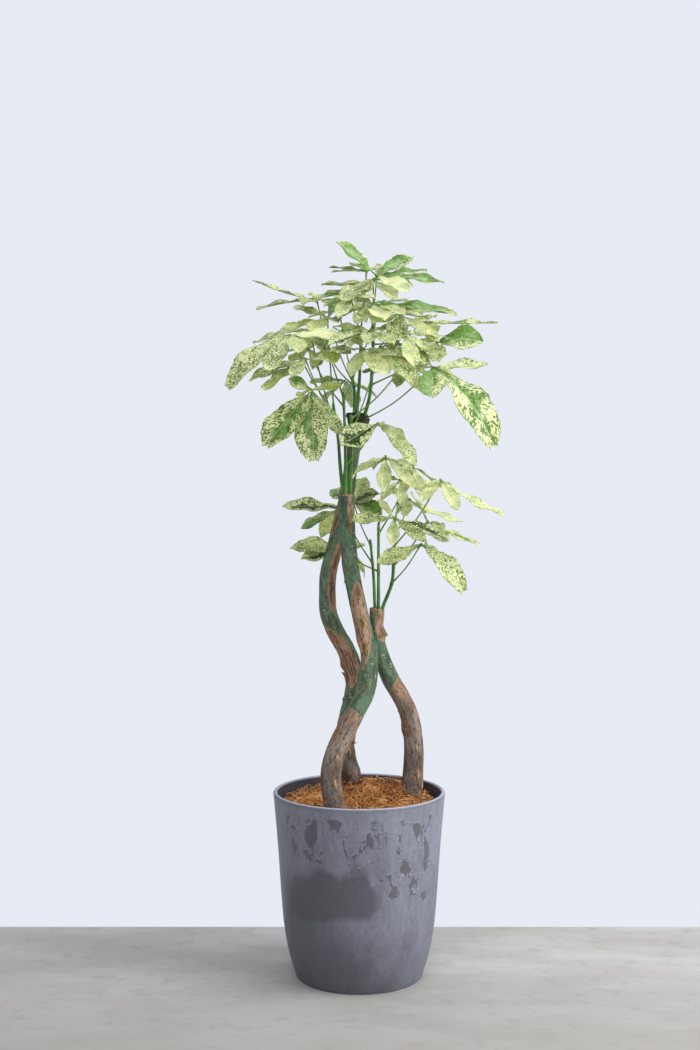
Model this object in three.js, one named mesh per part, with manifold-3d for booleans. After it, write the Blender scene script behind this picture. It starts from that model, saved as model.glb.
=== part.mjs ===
// Potted money tree with cream and green speckled leaves: a tapered planter, three loosely
// braided trunks with sawn tops, and shoots that carry palmate leaves above a coir mulch.
// Millimetres. +Z is up, +X is the right of the front view, +Y points away from the viewer,
// and the origin is the centre of the planter's base on the floor.

import * as THREE from 'three';
import { mergeVertices } from 'three/addons/utils/BufferGeometryUtils.js';
import Module from 'manifold-3d';

const wasm = await Module();
wasm.setup();

// Driving dimensions -------------------------------------------------------------------------

const SEAT_GAP = 0.3; // clearance kept between pieces that touch

const POT = {
  height: 323,
  wall: 8,
  floor: 12,
  segments: 32,
  // Radius and height up the outside, from the foot to just under the lip.
  outside: [[110, 0], [121.5, 36], [131.5, 90], [142.3, 232], [149.5, 316]],
  lipRadius: 150,
};

const DRAIN = { count: 4, turn: -84, width: 14, depth: 2.5, holeRadius: 6, holeAt: 60, inner: 48 };

const SOIL = { top: 285, clearance: 0.4 };

// The mulch is heaped round a point behind the middle of the pot.
const MULCH = {
  edge: 296, crown: 324, heap: [25, 35], spread: 90, tuft: 3.2, rings: 6, seed: 11,
};

const BLADE = {
  thickness: 0.8,
  widthRatio: 0.35, // widest part over length
  arch: 0.02, // rise of the midrib between hub and tip, over length
  keel: 0.22, // how far each half folds up from the midrib
  wave: 0.022, // height of the edge's waves, over length
  waves: 2.4, // waves along one edge
  // Cross sections along blades of up to each length.
  sections: [
    { upTo: 84, stations: [0.36, 0.84] },
    { upTo: 110, stations: [0.25, 0.6, 0.92] },
    { upTo: Infinity, stations: [0.2, 0.45, 0.72, 0.93] },
  ],
};

// The leaf stalk thickens to a small hub, into which the leaflets are sunk.
const PETIOLE = { foot: 1.7, middle: 1.2, hub: 2.8, past: 2.2, sag: 0.06, sides: 5, rings: 3 };

// Trunks: centre line and radius, [x, y, z, r], from the root end in the soil to the sawn top.
// Knots are [height, bearing in degrees, how far they stand out, how wide they spread].
const TRUNKS = {
  trunk_front: {
    line: [
      [-30, -90, 205, 15], [-33, -92, 260, 20], [-38, -92, 300, 18.5], [-47, -84, 349, 17.5],
      [-47, -78, 374, 17.5], [-37, -68, 408, 17.5], [-21, -55, 441, 17], [-4, -43, 472, 16.5],
      [10, -33, 500, 16.5], [17, -24, 535, 15.5], [16, -18, 571, 15], [7, -17, 609, 14.5],
      [-11, -19, 692, 14], [-20, -21, 765, 14], [-22, -22, 841, 14],
    ],
    knots: [[425, 10, 6, 12], [590, 170, 2.5, 14], [720, 250, 2, 12]],
  },
  trunk_left: {
    line: [
      [-8, 76, 205, 15], [-8, 74, 260, 22], [-12, 70, 299, 20], [-20, 54, 356, 17],
      [-24, 30, 423, 15.5], [-11, 14, 488, 15.5], [-8, 14, 518, 15.5], [-14, 16, 546, 15.5],
      [-28, 17, 575, 16], [-43, 15, 602, 15.5], [-54, 11, 634, 15], [-56, 9, 666, 14.5],
      [-54, 10, 701, 14.5], [-37, 17, 770, 13.5], [-20, 23, 847, 12.5], [-14, 22, 891, 12],
      [-6, 19, 945, 12.5], [-3, 18, 962, 17], [-2, 18, 982, 17.5],
    ],
    knots: [[545, 190, 5, 11], [345, 320, 5, 16], [968, 20, 3, 9], [975, 150, 3, 9]],
  },
  trunk_right: {
    line: [
      [88, 24, 205, 15], [90, 22, 260, 22], [92, 20, 301, 20], [96, 19, 354, 18],
      [97, 18, 392, 17], [94, 17, 427, 16.5], [85, 16, 461, 16], [71, 15, 489, 15.5],
      [56, 14, 514, 15.5], [44, 13, 542, 14.5], [34, 13, 571, 13.5], [30, 13, 602, 12.5],
      [31, 13, 641, 13],
    ],
    knots: [[595, 15, 5, 9], [430, 170, 2.5, 12]],
  },
};

const BARK = { sides: 9, ringsPerSpan: 2, lobes: 3, lobeHeight: 0.035, twist: 0.013 };

// Green shoots: the trunk that each one springs from and its centre line with radius.
const SHOOTS = {
  shoot_front_1: {
    on: 'trunk_front',
    line: [[-27, -24, 831, 3.2], [-33, -30, 891, 3], [-36, -34, 932, 2.6], [-44, -40, 990, 2.2]],
  },
  shoot_front_2: {
    on: 'trunk_front',
    line: [[-23, -31, 831, 3.2], [-24, -38, 927, 2.8], [-27, -44, 1008, 2.2]],
  },
  shoot_front_3: {
    on: 'trunk_front',
    line: [[-16, -25, 831, 3], [-13, -30, 916, 2.6], [-14, -34, 971, 2.2]],
  },
  shoot_left_1: {
    on: 'trunk_left',
    line: [[-5, 14, 970, 3.2], [-2, 14, 1008, 3], [1, 12, 1051, 2.6], [3, 16, 1126, 2.2]],
  },
  shoot_left_2: {
    on: 'trunk_left',
    line: [
      [6, 17, 968, 3.2], [13, 14, 990, 3.2], [18, 10, 1010, 3], [22, 4, 1049, 2.8],
      [24, 0, 1099, 2.5], [23, 0, 1145, 2.2],
    ],
  },
  shoot_left_3: {
    on: 'trunk_left',
    line: [[-9, 23, 970, 3], [-8, 28, 1019, 2.6], [-12, 30, 1046, 2.2]],
  },
  shoot_right_1: {
    on: 'trunk_right',
    line: [[28, 10, 631, 3], [25, 10, 699, 2.6], [20, 10, 755, 2.2]],
  },
  shoot_right_2: {
    on: 'trunk_right',
    line: [[34, 16, 630, 3.2], [34, 20, 702, 2.8], [34, 22, 784, 2.2]],
  },
  shoot_right_3: {
    on: 'trunk_right',
    line: [
      [37, 8, 630, 3.2], [43, 6, 648, 3.2], [57, 0, 687, 3], [60, -5, 733, 2.6],
      [61, -8, 782, 2.2],
    ],
  },
};

// Leaves. Each springs from a shoot at height z and ends in a hub that carries its leaflets:
// [dx, dy, dz] from the hub to the leaflet's tip, then width factor and arch where they differ.
// Tilt turns the upper faces from straight up toward the viewer and lean turns them sideways,
// in degrees.
const LEAVES = [
  {
    name: 'top_front', on: 'shoot_left_2', z: 1145, hub: [30, -20, 1215], tilt: 35,
    leaflets: [[-70, -25, 55, 1.25], [65, 45, 40, 1.25], [115, -10, -12, 0.7], [90, 75, 20, 0.5],
      [50, -75, -35, 1.15], [15, 70, 25]],
  },
  {
    name: 'top_back', on: 'shoot_left_1', z: 1125, hub: [13, 35, 1231], tilt: 10,
    leaflets: [[-65, -45, 0], [-62, 50, 6, 0.7], [-25, 75, 25], [55, 70, 20]],
  },
  {
    name: 'top_low', on: 'shoot_left_2', z: 1125, hub: [25, 20, 1215], tilt: 18,
    leaflets: [[-90, -40, -14, 0.9, -0.05], [-100, -65, -42, 0.7, -0.04], [-55, -95, -50],
      [-20, -60, -35], [70, 55, 0], [38, -50, -42, 1.2]],
  },
  {
    name: 'upper_mid', on: 'shoot_left_2', z: 1105, hub: [30, -25, 1165], tilt: 20,
    leaflets: [[138, 15, -14, 1.4, 0], [45, -75, -25], [-70, -45, -25], [-60, 65, 20],
      [-35, -80, -40], [10, -95, -35, 1.2]],
  },
  {
    name: 'far_left', on: 'shoot_front_2', z: 1004, hub: [-75, 65, 1185], tilt: 8,
    leaflets: [[-115, 20, 38, 0.6, -0.04], [-105, -25, -20, 1.1, 0.03], [40, 10, 0],
      [-20, -100, -20], [0, 90, 20]],
  },
  {
    name: 'left_green', on: 'shoot_front_1', z: 988, hub: [-55, -10, 1145], tilt: 30,
    leaflets: [[30, 70, 40], [-60, 30, 22], [-80, -15, -22, 1, -0.02], [20, -70, -15],
      [-25, -85, -35]],
  },
  {
    name: 'left_front', on: 'shoot_front_1', z: 979, hub: [-115, -110, 1105], tilt: 38,
    leaflets: [[95, 25, 0], [-65, 70, -5], [-103, -25, -90, 0.95, 0.11], [-35, -70, -65],
      [20, -80, -35]],
  },
  {
    name: 'left_low', on: 'shoot_front_1', z: 970, hub: [-90, -120, 1065], tilt: 22,
    leaflets: [[-93, -15, -38, 1.1], [-75, 35, -45, 0.9], [-68, -40, -55, 0.8], [-20, -60, -35],
      [40, -25, -5]],
  },
  {
    name: 'hanging', on: 'shoot_front_1', z: 960, hub: [-80, -100, 1015], tilt: 63, lean: -19,
    leaflets: [[-76, -35, -97, 1.3], [5, -30, -120, 1.35], [-38, -12, 18, 1.5], [50, 30, 10],
      [50, 15, -73, 0.8], [-20, -60, -15]],
  },
  {
    name: 'low_front', on: 'shoot_front_2', z: 890, hub: [30, -80, 960], tilt: 55, lean: 8,
    leaflets: [[-62, -35, -38, 1.7], [65, -15, -70, 0.85, 0.09], [45, -50, -30], [25, 55, -10]],
  },
  {
    name: 'right_big', on: 'trunk_left', z: 965, hub: [125, -65, 1055], tilt: 38,
    leaflets: [[95, 30, 7, 0.9], [100, -40, -136, 1.1, 0.13], [-10, -85, -55, 1.35], [-40, 5, 0],
      [60, 70, -25, 1.3], [-50, 60, 45]],
  },
  {
    name: 'right_green', on: 'shoot_left_2', z: 1030, hub: [135, 25, 1105], tilt: 55,
    leaflets: [[80, -25, 0, 1.9, 0.1], [-5, -90, -40], [-30, 65, 10], [-30, -75, -20],
      [5, 75, -10]],
  },
  {
    name: 'right_far', on: 'shoot_left_2', z: 1060, hub: [110, 65, 1145], tilt: 14,
    leaflets: [[135, -10, -2, 0.75, -0.01], [25, 80, 20], [25, -80, -25], [-15, 75, 30],
      [-60, -60, -25]],
  },
  {
    name: 'centre_front', on: 'shoot_front_2', z: 1000, hub: [5, -85, 1085], tilt: 30,
    leaflets: [[-55, -55, -10], [-20, -50, -50], [35, -85, -50], [55, -35, -15], [-20, 65, 35]],
  },
  {
    name: 'centre_right', on: 'shoot_front_3', z: 945, hub: [35, -65, 1090], tilt: 35,
    leaflets: [[65, -45, -72], [80, -15, -30], [40, 5, 5], [-30, -35, -30], [10, -70, -50]],
  },
  {
    name: 'centre_low', on: 'shoot_front_3', z: 970, hub: [75, -30, 1060], tilt: 30,
    leaflets: [[-70, 0, -10], [-13, -55, -40], [60, 25, -20], [20, 90, 35]],
  },
  {
    name: 'centre_dark', on: 'shoot_left_1', z: 1085, hub: [20, -85, 1115], tilt: 25,
    leaflets: [[-75, -50, -30], [-65, 20, 10], [35, -75, -30], [55, 55, 10], [-5, -95, -30]],
  },
  {
    name: 'right_pale', on: 'shoot_left_2', z: 1080, hub: [70, -20, 1150], tilt: 30,
    leaflets: [[65, -30, -50], [-10, -90, -55], [-50, -75, -25, 1.3], [-5, 90, 30], [55, 75, 0]],
  },
  {
    name: 'left_olive', on: 'shoot_front_2', z: 990, hub: [-90, 40, 1095], tilt: 30,
    leaflets: [[-15, 35, 30], [30, 80, 25], [-45, 60, 0], [25, -50, -30], [-30, -60, -30]],
  },
  {
    name: 'left_centre', on: 'shoot_left_3', z: 1030, hub: [-60, -45, 1090], tilt: 30,
    leaflets: [[45, -60, -15], [15, -95, -35], [-18, -50, -40], [25, 40, 20]],
  },
  {
    name: 'mid_top', on: 'shoot_left_1', z: 1120, hub: [-15, -30, 1180], tilt: 25,
    leaflets: [[-45, -20, -20], [-20, -65, -45], [28, 10, -45, 1.4], [40, -50, -10], [-15, 55, 15]],
  },
  {
    name: 'mid_right', on: 'shoot_left_2', z: 1100, hub: [75, -80, 1110], tilt: 30,
    leaflets: [[40, -25, -30], [70, 35, 0], [15, -55, -60], [-25, -5, -30], [5, 55, 10]],
  },
  {
    name: 'mid_back', on: 'shoot_left_3', z: 1040, hub: [-35, 60, 1165], tilt: 20,
    leaflets: [[-55, 15, -10], [-30, 50, 25], [10, 70, 45], [40, 50, 15]],
  },
  {
    name: 'mid_left', on: 'shoot_front_1', z: 950, hub: [-85, -10, 1120], tilt: 30,
    leaflets: [[-50, 10, -20], [-60, 50, 5], [-15, -50, -40], [20, -55, -30]],
  },
  {
    name: 'back_left', on: 'shoot_left_3', z: 1035, hub: [-45, 105, 1125], tilt: 30,
    leaflets: [[-65, 45, 15], [-25, 85, -20], [30, 100, -10], [55, 65, 15]],
  },
  {
    name: 'back_right', on: 'shoot_left_2', z: 1050, hub: [80, 115, 1100], tilt: 30,
    leaflets: [[70, 45, 5], [45, 75, -25], [-10, 90, -25], [-50, 60, 0]],
  },
  {
    name: 'back_top', on: 'shoot_left_1', z: 1105, hub: [45, 90, 1185], tilt: 20,
    leaflets: [[55, 50, 5], [50, 75, -15], [5, 95, -20], [-45, 70, -5]],
  },
  {
    name: 'back_low', on: 'shoot_left_1', z: 1030, hub: [-25, 120, 1045], tilt: 35,
    leaflets: [[-65, 40, 0], [-40, 75, -35], [15, 90, -45], [60, 75, -25]],
  },
  {
    name: 'low_right', on: 'shoot_right_3', z: 685, hub: [105, -45, 755], tilt: 45,
    leaflets: [[-75, -25, -30, 1.2, -0.03], [72, -25, -80, 1.05, 0.14], [40, 80, -20]],
  },
  {
    name: 'low_far', on: 'shoot_right_3', z: 750, hub: [140, -20, 865], tilt: 30,
    leaflets: [[110, 0, -60, 0.5, -0.05], [26, -55, -50, 0.95], [-38, -35, -12, 0.9],
      [-38, -65, -38, 0.8], [20, 90, -20, 0.8]],
  },
  {
    name: 'low_top', on: 'shoot_right_2', z: 780, hub: [45, -35, 905], tilt: 40,
    leaflets: [[-55, -40, -30, 0.6, 0.06], [-5, -55, -60, 0.9], [50, -40, -55, 0.75], [-20, 65, -20, 0.9],
      [30, 70, -20, 0.9]],
  },
  {
    name: 'low_back', on: 'shoot_right_2', z: 770, hub: [95, 40, 890], tilt: 30,
    leaflets: [[-20, -40, -50, 0.8], [-30, 55, 10], [15, -35, -55, 0.95], [50, 60, -38]],
  },
  {
    name: 'low_mid', on: 'shoot_right_3', z: 715, hub: [115, -65, 795], tilt: 30,
    leaflets: [[-30, -35, 50, 0.8], [90, 15, -40, 0.5, -0.03], [38, -15, -28, 0.8], [25, -60, -10, 0.8]],
  },
  {
    name: 'low_centre', on: 'shoot_right_3', z: 775, hub: [60, -30, 800], tilt: 35,
    leaflets: [[95, -5, -40, 0.8], [50, -70, -40, 0.8], [-75, -45, -5, 1.1], [-28, 12, 32],
      [-5, -65, -45, 0.8], [20, 5, 35, 0.8]],
  },
  {
    name: 'behind_left', on: 'shoot_right_1', z: 720, hub: [-30, 80, 815], tilt: 35,
    leaflets: [[-105, -20, 3, 1.1], [-75, 15, -38, 1, 0], [-38, -35, -52, 1.2], [20, 70, 30]],
  },
  {
    name: 'behind_right', on: 'shoot_right_1', z: 750, hub: [-10, 75, 825], tilt: 50,
    leaflets: [[46, -35, 16, 1.5], [50, -50, -20, 1.5], [-42, 35, 22, 1.5], [22, 30, 45, 1.6]],
  },
  {
    name: 'behind_low', on: 'shoot_right_2', z: 705, hub: [-25, 60, 740], tilt: 40,
    leaflets: [[-95, -20, 5, 1.2, 0.07], [-77, -35, -14, 1.1], [35, -5, -40], [35, 50, 10],
      [-30, 70, -20]],
  },
  {
    name: 'low_inner', on: 'shoot_right_3', z: 780, hub: [70, -20, 865], tilt: 35,
    leaflets: [[-35, -40, -35, 0.8], [5, -50, -50, 0.8], [45, -5, -20, 0.8], [-40, 40, 5],
      [20, 35, 30]],
  },
  {
    name: 'low_pale', on: 'shoot_right_3', z: 765, hub: [90, 50, 830], tilt: 30,
    leaflets: [[95, 15, -40, 0.55, -0.05], [-40, 35, 20], [30, 80, -25, 0.9], [-12, -65, -28, 0.8]],
  },
];

// Colours --------------------------------------------------------------------------------------

const finish = (color, roughness) => () => new THREE.MeshStandardMaterial({
  color, roughness, metalness: 0,
});

const FINISH = {
  pot: finish('#6b6f7a', 0.62),
  soil: finish('#3b2c20', 0.95),
  coir: finish('#96663a', 0.95),
  bark: finish('#6f705f', 0.8),
  shoot: finish('#4f6b35', 0.55),
  leaf: finish('#bccb8c', 0.5),
};

// Geometry helpers -------------------------------------------------------------------------------

const vector = ([x, y, z]) => new THREE.Vector3(x, y, z);

function signedVolume(points, triangles) {
  const cross = new THREE.Vector3();
  return triangles.reduce(
    (sum, [a, b, c]) => sum + points[a].dot(cross.crossVectors(points[b], points[c])),
    0,
  ) / 6;
}

// A solid from points and triangles, turned so that its faces point out.
function solidOf(points, triangles) {
  const inward = signedVolume(points, triangles) < 0;
  const facing = inward ? triangles.map(([a, b, c]) => [a, c, b]) : triangles;
  return new wasm.Manifold(new wasm.Mesh({
    numProp: 3,
    vertProperties: new Float32Array(points.flatMap((p) => [p.x, p.y, p.z])),
    triVerts: new Uint32Array(facing.flat()),
  }));
}

// A solid from one of the three.js geometries, with its shared corners merged.
function solidFrom(geometry) {
  geometry.deleteAttribute('normal');
  geometry.deleteAttribute('uv');
  const merged = mergeVertices(geometry, 1e-3);
  const { position } = merged.attributes;
  const points = Array.from(
    { length: position.count },
    (_, i) => new THREE.Vector3().fromBufferAttribute(position, i),
  );
  const corners = Array.from(merged.index.array);
  const triangles = [];
  for (let i = 0; i < corners.length; i += 3) {
    const [a, b, c] = corners.slice(i, i + 3);
    if (a !== b && b !== c && c !== a) triangles.push([a, b, c]);
  }
  return solidOf(points, triangles);
}

function meshFrom(name, solid, material) {
  const { vertProperties, triVerts } = solid.getMesh();
  const geometry = new THREE.BufferGeometry();
  geometry.setAttribute('position', new THREE.Float32BufferAttribute(vertProperties, 3));
  geometry.setIndex(Array.from(triVerts));
  geometry.computeVertexNormals();
  const mesh = new THREE.Mesh(geometry, material());
  mesh.name = name;
  return mesh;
}

// Seeded random numbers from 0 to 1.
function randomSource(seed) {
  let state = seed;
  return () => {
    state = (state * 1664525 + 1013904223) % 4294967296;
    return state / 4294967296;
  };
}

function turned(profile, segments) {
  const outline = profile.map(([r, z]) => new THREE.Vector2(r, z));
  return solidFrom(new THREE.LatheGeometry(outline, segments).rotateX(Math.PI / 2));
}

// A limb: rings of points round a smooth line of [x, y, z, r], closed at both ends.
// relief(point, bearing, along) gives what is added to the radius there.
function limb(line, { sides, rings, grow = 0, relief = () => 0 }) {
  const path = new THREE.CatmullRomCurve3(line.map(vector), false, 'centripetal');
  const girth = new THREE.CatmullRomCurve3(line.map(([, , , r], i) => new THREE.Vector3(r, i, 0)));
  const frames = path.computeFrenetFrames(rings, false);
  const points = [];
  const triangles = [];
  const corner = (i, j) => i * sides + (j % sides);
  for (let i = 0; i <= rings; i += 1) {
    const centre = path.getPointAt(i / rings);
    const along = path.getUtoTmapping(i / rings);
    const radius = girth.getPoint(along).x + grow;
    for (let j = 0; j < sides; j += 1) {
      const angle = (2 * Math.PI * j) / sides;
      const out = frames.normals[i].clone().multiplyScalar(Math.cos(angle))
        .addScaledVector(frames.binormals[i], Math.sin(angle));
      const bearing = Math.atan2(out.y, out.x);
      points.push(centre.clone().addScaledVector(out, radius + relief(centre, bearing, radius)));
    }
    if (i > 0) {
      for (let j = 0; j < sides; j += 1) {
        triangles.push([corner(i - 1, j), corner(i - 1, j + 1), corner(i, j + 1)]);
        triangles.push([corner(i - 1, j), corner(i, j + 1), corner(i, j)]);
      }
    }
  }
  const start = points.push(path.getPointAt(0).addScaledVector(frames.tangents[0], -grow)) - 1;
  const end = points.push(path.getPointAt(1).addScaledVector(frames.tangents[rings], grow)) - 1;
  for (let j = 0; j < sides; j += 1) {
    triangles.push([start, corner(0, j + 1), corner(0, j)]);
    triangles.push([end, corner(rings, j), corner(rings, j + 1)]);
  }
  return solidOf(points, triangles);
}

// Planter --------------------------------------------------------------------------------------

// Inner radius of the planter at height z: the outside less the wall.
function potInside(z) {
  const { outside, wall } = POT;
  const above = Math.max(1, outside.findIndex(([, height]) => height >= z));
  const [[r0, z0], [r1, z1]] = outside.slice(above - 1, above + 1);
  return r0 + ((r1 - r0) * (z - z0)) / (z1 - z0) - wall;
}

function makePot() {
  const { height, floor, outside, lipRadius, wall, segments } = POT;
  const inside = outside.slice(1).reverse().map(([r, z]) => [r - wall, z]);
  let pot = turned([
    [0, 0], ...outside, [lipRadius, height - 4], [lipRadius - 1, height - 1],
    [lipRadius - 3, height], [lipRadius - wall + 2, height], [lipRadius - wall + 0.5, height - 1.5],
    ...inside, [potInside(floor), floor], [0, floor],
  ], segments);
  for (let i = 0; i < DRAIN.count; i += 1) {
    const angle = THREE.MathUtils.degToRad(DRAIN.turn + (360 * i) / DRAIN.count);
    const length = lipRadius - DRAIN.inner;
    const groove = new THREE.BoxGeometry(length, DRAIN.width, 2 * DRAIN.depth)
      .translate(DRAIN.inner + length / 2, 0, 0).rotateZ(angle);
    const hole = new THREE.CylinderGeometry(DRAIN.holeRadius, DRAIN.holeRadius, 3 * floor, 12)
      .rotateX(Math.PI / 2).translate(DRAIN.holeAt, 0, 0).rotateZ(angle);
    pot = pot.subtract(solidFrom(groove)).subtract(solidFrom(hole));
  }
  return pot;
}

// Soil and mulch, with a plain hole for each trunk ---------------------------------------------

function makeSoil(trunkHoles) {
  const { top, clearance } = SOIL;
  const low = POT.floor + SEAT_GAP;
  const bends = POT.outside.map(([, z]) => z).filter((z) => z > low && z < top);
  const profile = [low, ...bends, top].map((z) => [potInside(z) - clearance, z]);
  const fill = turned([[0, low], ...profile, [0, top]], POT.segments);
  return trunkHoles.reduce((solid, hole) => solid.subtract(hole), fill);
}

// Tangled coir: a shallow mound whose top is roughened by waves of random bearing.
function makeMulch(trunkHoles) {
  const { edge, crown, heap, spread, tuft, rings, seed } = MULCH;
  const { segments } = POT;
  const random = randomSource(seed);
  const waves = Array.from({ length: 7 }, () => ({
    bearing: 2 * Math.PI * random(), pitch: 0.1 + 0.16 * random(), phase: 6 * random(),
  }));
  const low = SOIL.top + SEAT_GAP;
  const [radius, lowRadius] = [edge, low].map((z) => potInside(z) - SOIL.clearance);
  const topOf = (x, y, part) => {
    const rough = waves.reduce((sum, { bearing, pitch, phase }) => (
      sum + Math.sin(pitch * (x * Math.cos(bearing) + y * Math.sin(bearing)) + phase)
    ), 0);
    const away = Math.hypot(x - heap[0], y - heap[1]) / spread;
    const rise = (crown - edge) * Math.exp(-away * away);
    return edge + (1 - part ** 8) * (rise + (tuft * rough) / 2);
  };
  const points = [];
  const triangles = [];
  const corner = (i, j) => 2 + i * segments + (j % segments);
  points.push(new THREE.Vector3(0, 0, topOf(0, 0, 0)), new THREE.Vector3(0, 0, low));
  for (let i = 0; i <= rings; i += 1) {
    const part = Math.min(1, (i + 1) / rings);
    for (let j = 0; j < segments; j += 1) {
      const angle = (2 * Math.PI * j) / segments;
      const reach = i === rings ? lowRadius : radius * part;
      const [x, y] = [reach * Math.cos(angle), reach * Math.sin(angle)];
      points.push(new THREE.Vector3(x, y, i === rings ? low : topOf(x, y, part)));
    }
    for (let j = 0; j < segments; j += 1) {
      if (i === 0) {
        triangles.push([0, corner(0, j), corner(0, j + 1)]);
      } else {
        triangles.push([corner(i - 1, j), corner(i, j), corner(i, j + 1)]);
        triangles.push([corner(i - 1, j), corner(i, j + 1), corner(i - 1, j + 1)]);
      }
    }
  }
  for (let j = 0; j < segments; j += 1) {
    triangles.push([1, corner(rings, j + 1), corner(rings, j)]);
  }
  return trunkHoles.reduce((solid, hole) => solid.subtract(hole), solidOf(points, triangles));
}

// Trunks and shoots ------------------------------------------------------------------------------

// Soft lobes that wind round the trunk, and the knots of old side branches.
function barkRelief(knots) {
  return (centre, bearing, radius) => {
    const { lobes, lobeHeight, twist } = BARK;
    const lobe = radius * lobeHeight * Math.sin(lobes * bearing + twist * centre.z);
    return knots.reduce((sum, [height, degrees, rise, spread]) => {
      const around = radius * (1 - Math.cos(bearing - THREE.MathUtils.degToRad(degrees)));
      const away = ((centre.z - height) / spread) ** 2 + (around / (0.6 * spread)) ** 2;
      return sum + rise * Math.exp(-away);
    }, lobe);
  };
}

function makeTrunk({ line, knots }, grow = 0) {
  const rings = BARK.ringsPerSpan * (line.length - 1);
  return limb(line, { sides: BARK.sides, rings, grow, relief: barkRelief(knots) });
}

function makeShoot({ line }, grow = 0) {
  return limb(line, { sides: 5, rings: 2 * (line.length - 1), grow });
}

// Leaves -------------------------------------------------------------------------------------------

// Half the width of a blade at a part t of its length, where the widest part is 1.
const bladeProfile = (t) => Math.sin(Math.PI * t ** 1.5) ** 0.8;

// One leaflet: a thin arched blade, keeled along its midrib, with waved edges. Both faces are
// split into the same triangles.
function makeLeaflet(hub, [dx, dy, dz, widthFactor = 1, arch = BLADE.arch], face, phase) {
  const along = new THREE.Vector3(dx, dy, dz);
  const length = along.length();
  along.normalize();
  const up = face.clone().addScaledVector(along, -face.dot(along)).normalize();
  const across = new THREE.Vector3().crossVectors(along, up);
  const halfWidth = 0.5 * length * BLADE.widthRatio * widthFactor;
  const place = (t, edge, lift) => {
    const reach = halfWidth * bladeProfile(t);
    const angle = phase + edge * 1.1 + BLADE.waves * 2 * Math.PI * t;
    const ripple = BLADE.wave * length * Math.sin(angle);
    const rise = arch * length * Math.sin(Math.PI * t);
    return hub.clone().addScaledVector(along, length * t).addScaledVector(across, edge * reach)
      .addScaledVector(up, rise + Math.abs(edge) * (BLADE.keel * reach + ripple) + lift);
  };
  const { stations } = BLADE.sections.find(({ upTo }) => length <= upTo);
  const points = [];
  const triangles = [];
  const rows = [0, ...stations, 1].map((t) => {
    const edges = t === 0 || t === 1 ? [0] : [-1, 0, 1];
    return edges.map((edge) => {
      points.push(place(t, edge, BLADE.thickness / 2), place(t, edge, -BLADE.thickness / 2));
      return points.length - 2;
    });
  });
  const faces = (a, b, c) => triangles.push([a, c, b], [a + 1, b + 1, c + 1]);
  const wall = (a, b) => triangles.push([b, a + 1, a], [b, b + 1, a + 1]);
  for (let i = 1; i < rows.length; i += 1) {
    const near = rows[i - 1];
    const far = rows[i];
    const first = [near[0], far[0]];
    const last = [near[near.length - 1], far[far.length - 1]];
    wall(first[0], first[1]);
    wall(last[1], last[0]);
    if (near.length === 1) {
      faces(near[0], far[0], far[1]);
      faces(near[0], far[1], far[2]);
    } else if (far.length === 1) {
      faces(near[0], far[0], near[1]);
      faces(near[1], far[0], near[2]);
    } else {
      faces(near[0], far[0], far[1]);
      faces(near[0], far[1], near[1]);
      faces(near[1], far[1], near[2]);
      faces(near[2], far[1], far[2]);
    }
  }
  return solidOf(points, triangles);
}

// The point of a centre line at height z.
function pointAtHeight(line, z) {
  const above = line.findIndex((point) => point[2] >= z);
  const [lower, upper] = [line[above - 1], line[above]].map(vector);
  return lower.clone().lerp(upper, (z - lower.z) / (upper.z - lower.z));
}

function makeLeaf({ on, z, hub, tilt, lean = 0, leaflets }) {
  const carrier = SHOOTS[on] ?? TRUNKS[on];
  const foot = pointAtHeight(carrier.line, z);
  const end = vector(hub);
  const middle = foot.clone().lerp(end, 0.5);
  middle.z -= PETIOLE.sag * foot.distanceTo(end);
  const past = end.clone().addScaledVector(end.clone().sub(middle).normalize(), PETIOLE.past);
  const line = [[...foot, PETIOLE.foot], [...middle, PETIOLE.middle], [...past, PETIOLE.hub]];
  const [tiltAngle, leanAngle] = [tilt, lean].map(THREE.MathUtils.degToRad);
  const face = new THREE.Vector3(
    Math.sin(leanAngle),
    -Math.sin(tiltAngle) * Math.cos(leanAngle),
    Math.cos(tiltAngle) * Math.cos(leanAngle),
  );
  const petiole = limb(line, { sides: PETIOLE.sides, rings: PETIOLE.rings });
  const blades = leaflets.map((tip, i) => makeLeaflet(end, tip, face, 1.7 * i + 0.05 * hub[0]));
  const seat = SHOOTS[on] ? makeShoot(carrier, SEAT_GAP) : makeTrunk(carrier, SEAT_GAP);
  return blades.reduce((whole, blade) => whole.add(blade), petiole.subtract(seat));
}

// The tree -----------------------------------------------------------------------------------------

const tree = new THREE.Group();
tree.name = 'potted_money_tree';

const trunkHoles = Object.values(TRUNKS).map((trunk) => makeTrunk(trunk, SOIL.clearance));
tree.add(meshFrom('pot', makePot(), FINISH.pot));
tree.add(meshFrom('potting_soil', makeSoil(trunkHoles), FINISH.soil));
tree.add(meshFrom('coir_mulch', makeMulch(trunkHoles), FINISH.coir));

for (const [name, trunk] of Object.entries(TRUNKS)) {
  tree.add(meshFrom(name, makeTrunk(trunk), FINISH.bark));
}

for (const [name, shoot] of Object.entries(SHOOTS)) {
  const seat = makeTrunk(TRUNKS[shoot.on], SEAT_GAP);
  tree.add(meshFrom(name, makeShoot(shoot).subtract(seat), FINISH.shoot));
}

for (const leaf of LEAVES) {
  tree.add(meshFrom(`leaf_${leaf.name}`, makeLeaf(leaf), FINISH.leaf));
}

export default tree;
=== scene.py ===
"""Looks for the potted money tree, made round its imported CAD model.

The tables are in millimetres, as in the part's source, and the meshes in metres. +X is the right
of the front view, +Y points away from the viewer and +Z is up. The origin is the centre of the
planter's base on the floor.
"""

import logging
import math
import random
from dataclasses import dataclass, field
from enum import Enum
from typing import Any, Iterable, Optional, Sequence, Union

import bmesh
import bpy
import numpy as np
from bmesh.types import BMEdge, BMesh, BMFace, BMVert
from mathutils import Matrix, Vector, noise


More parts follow.
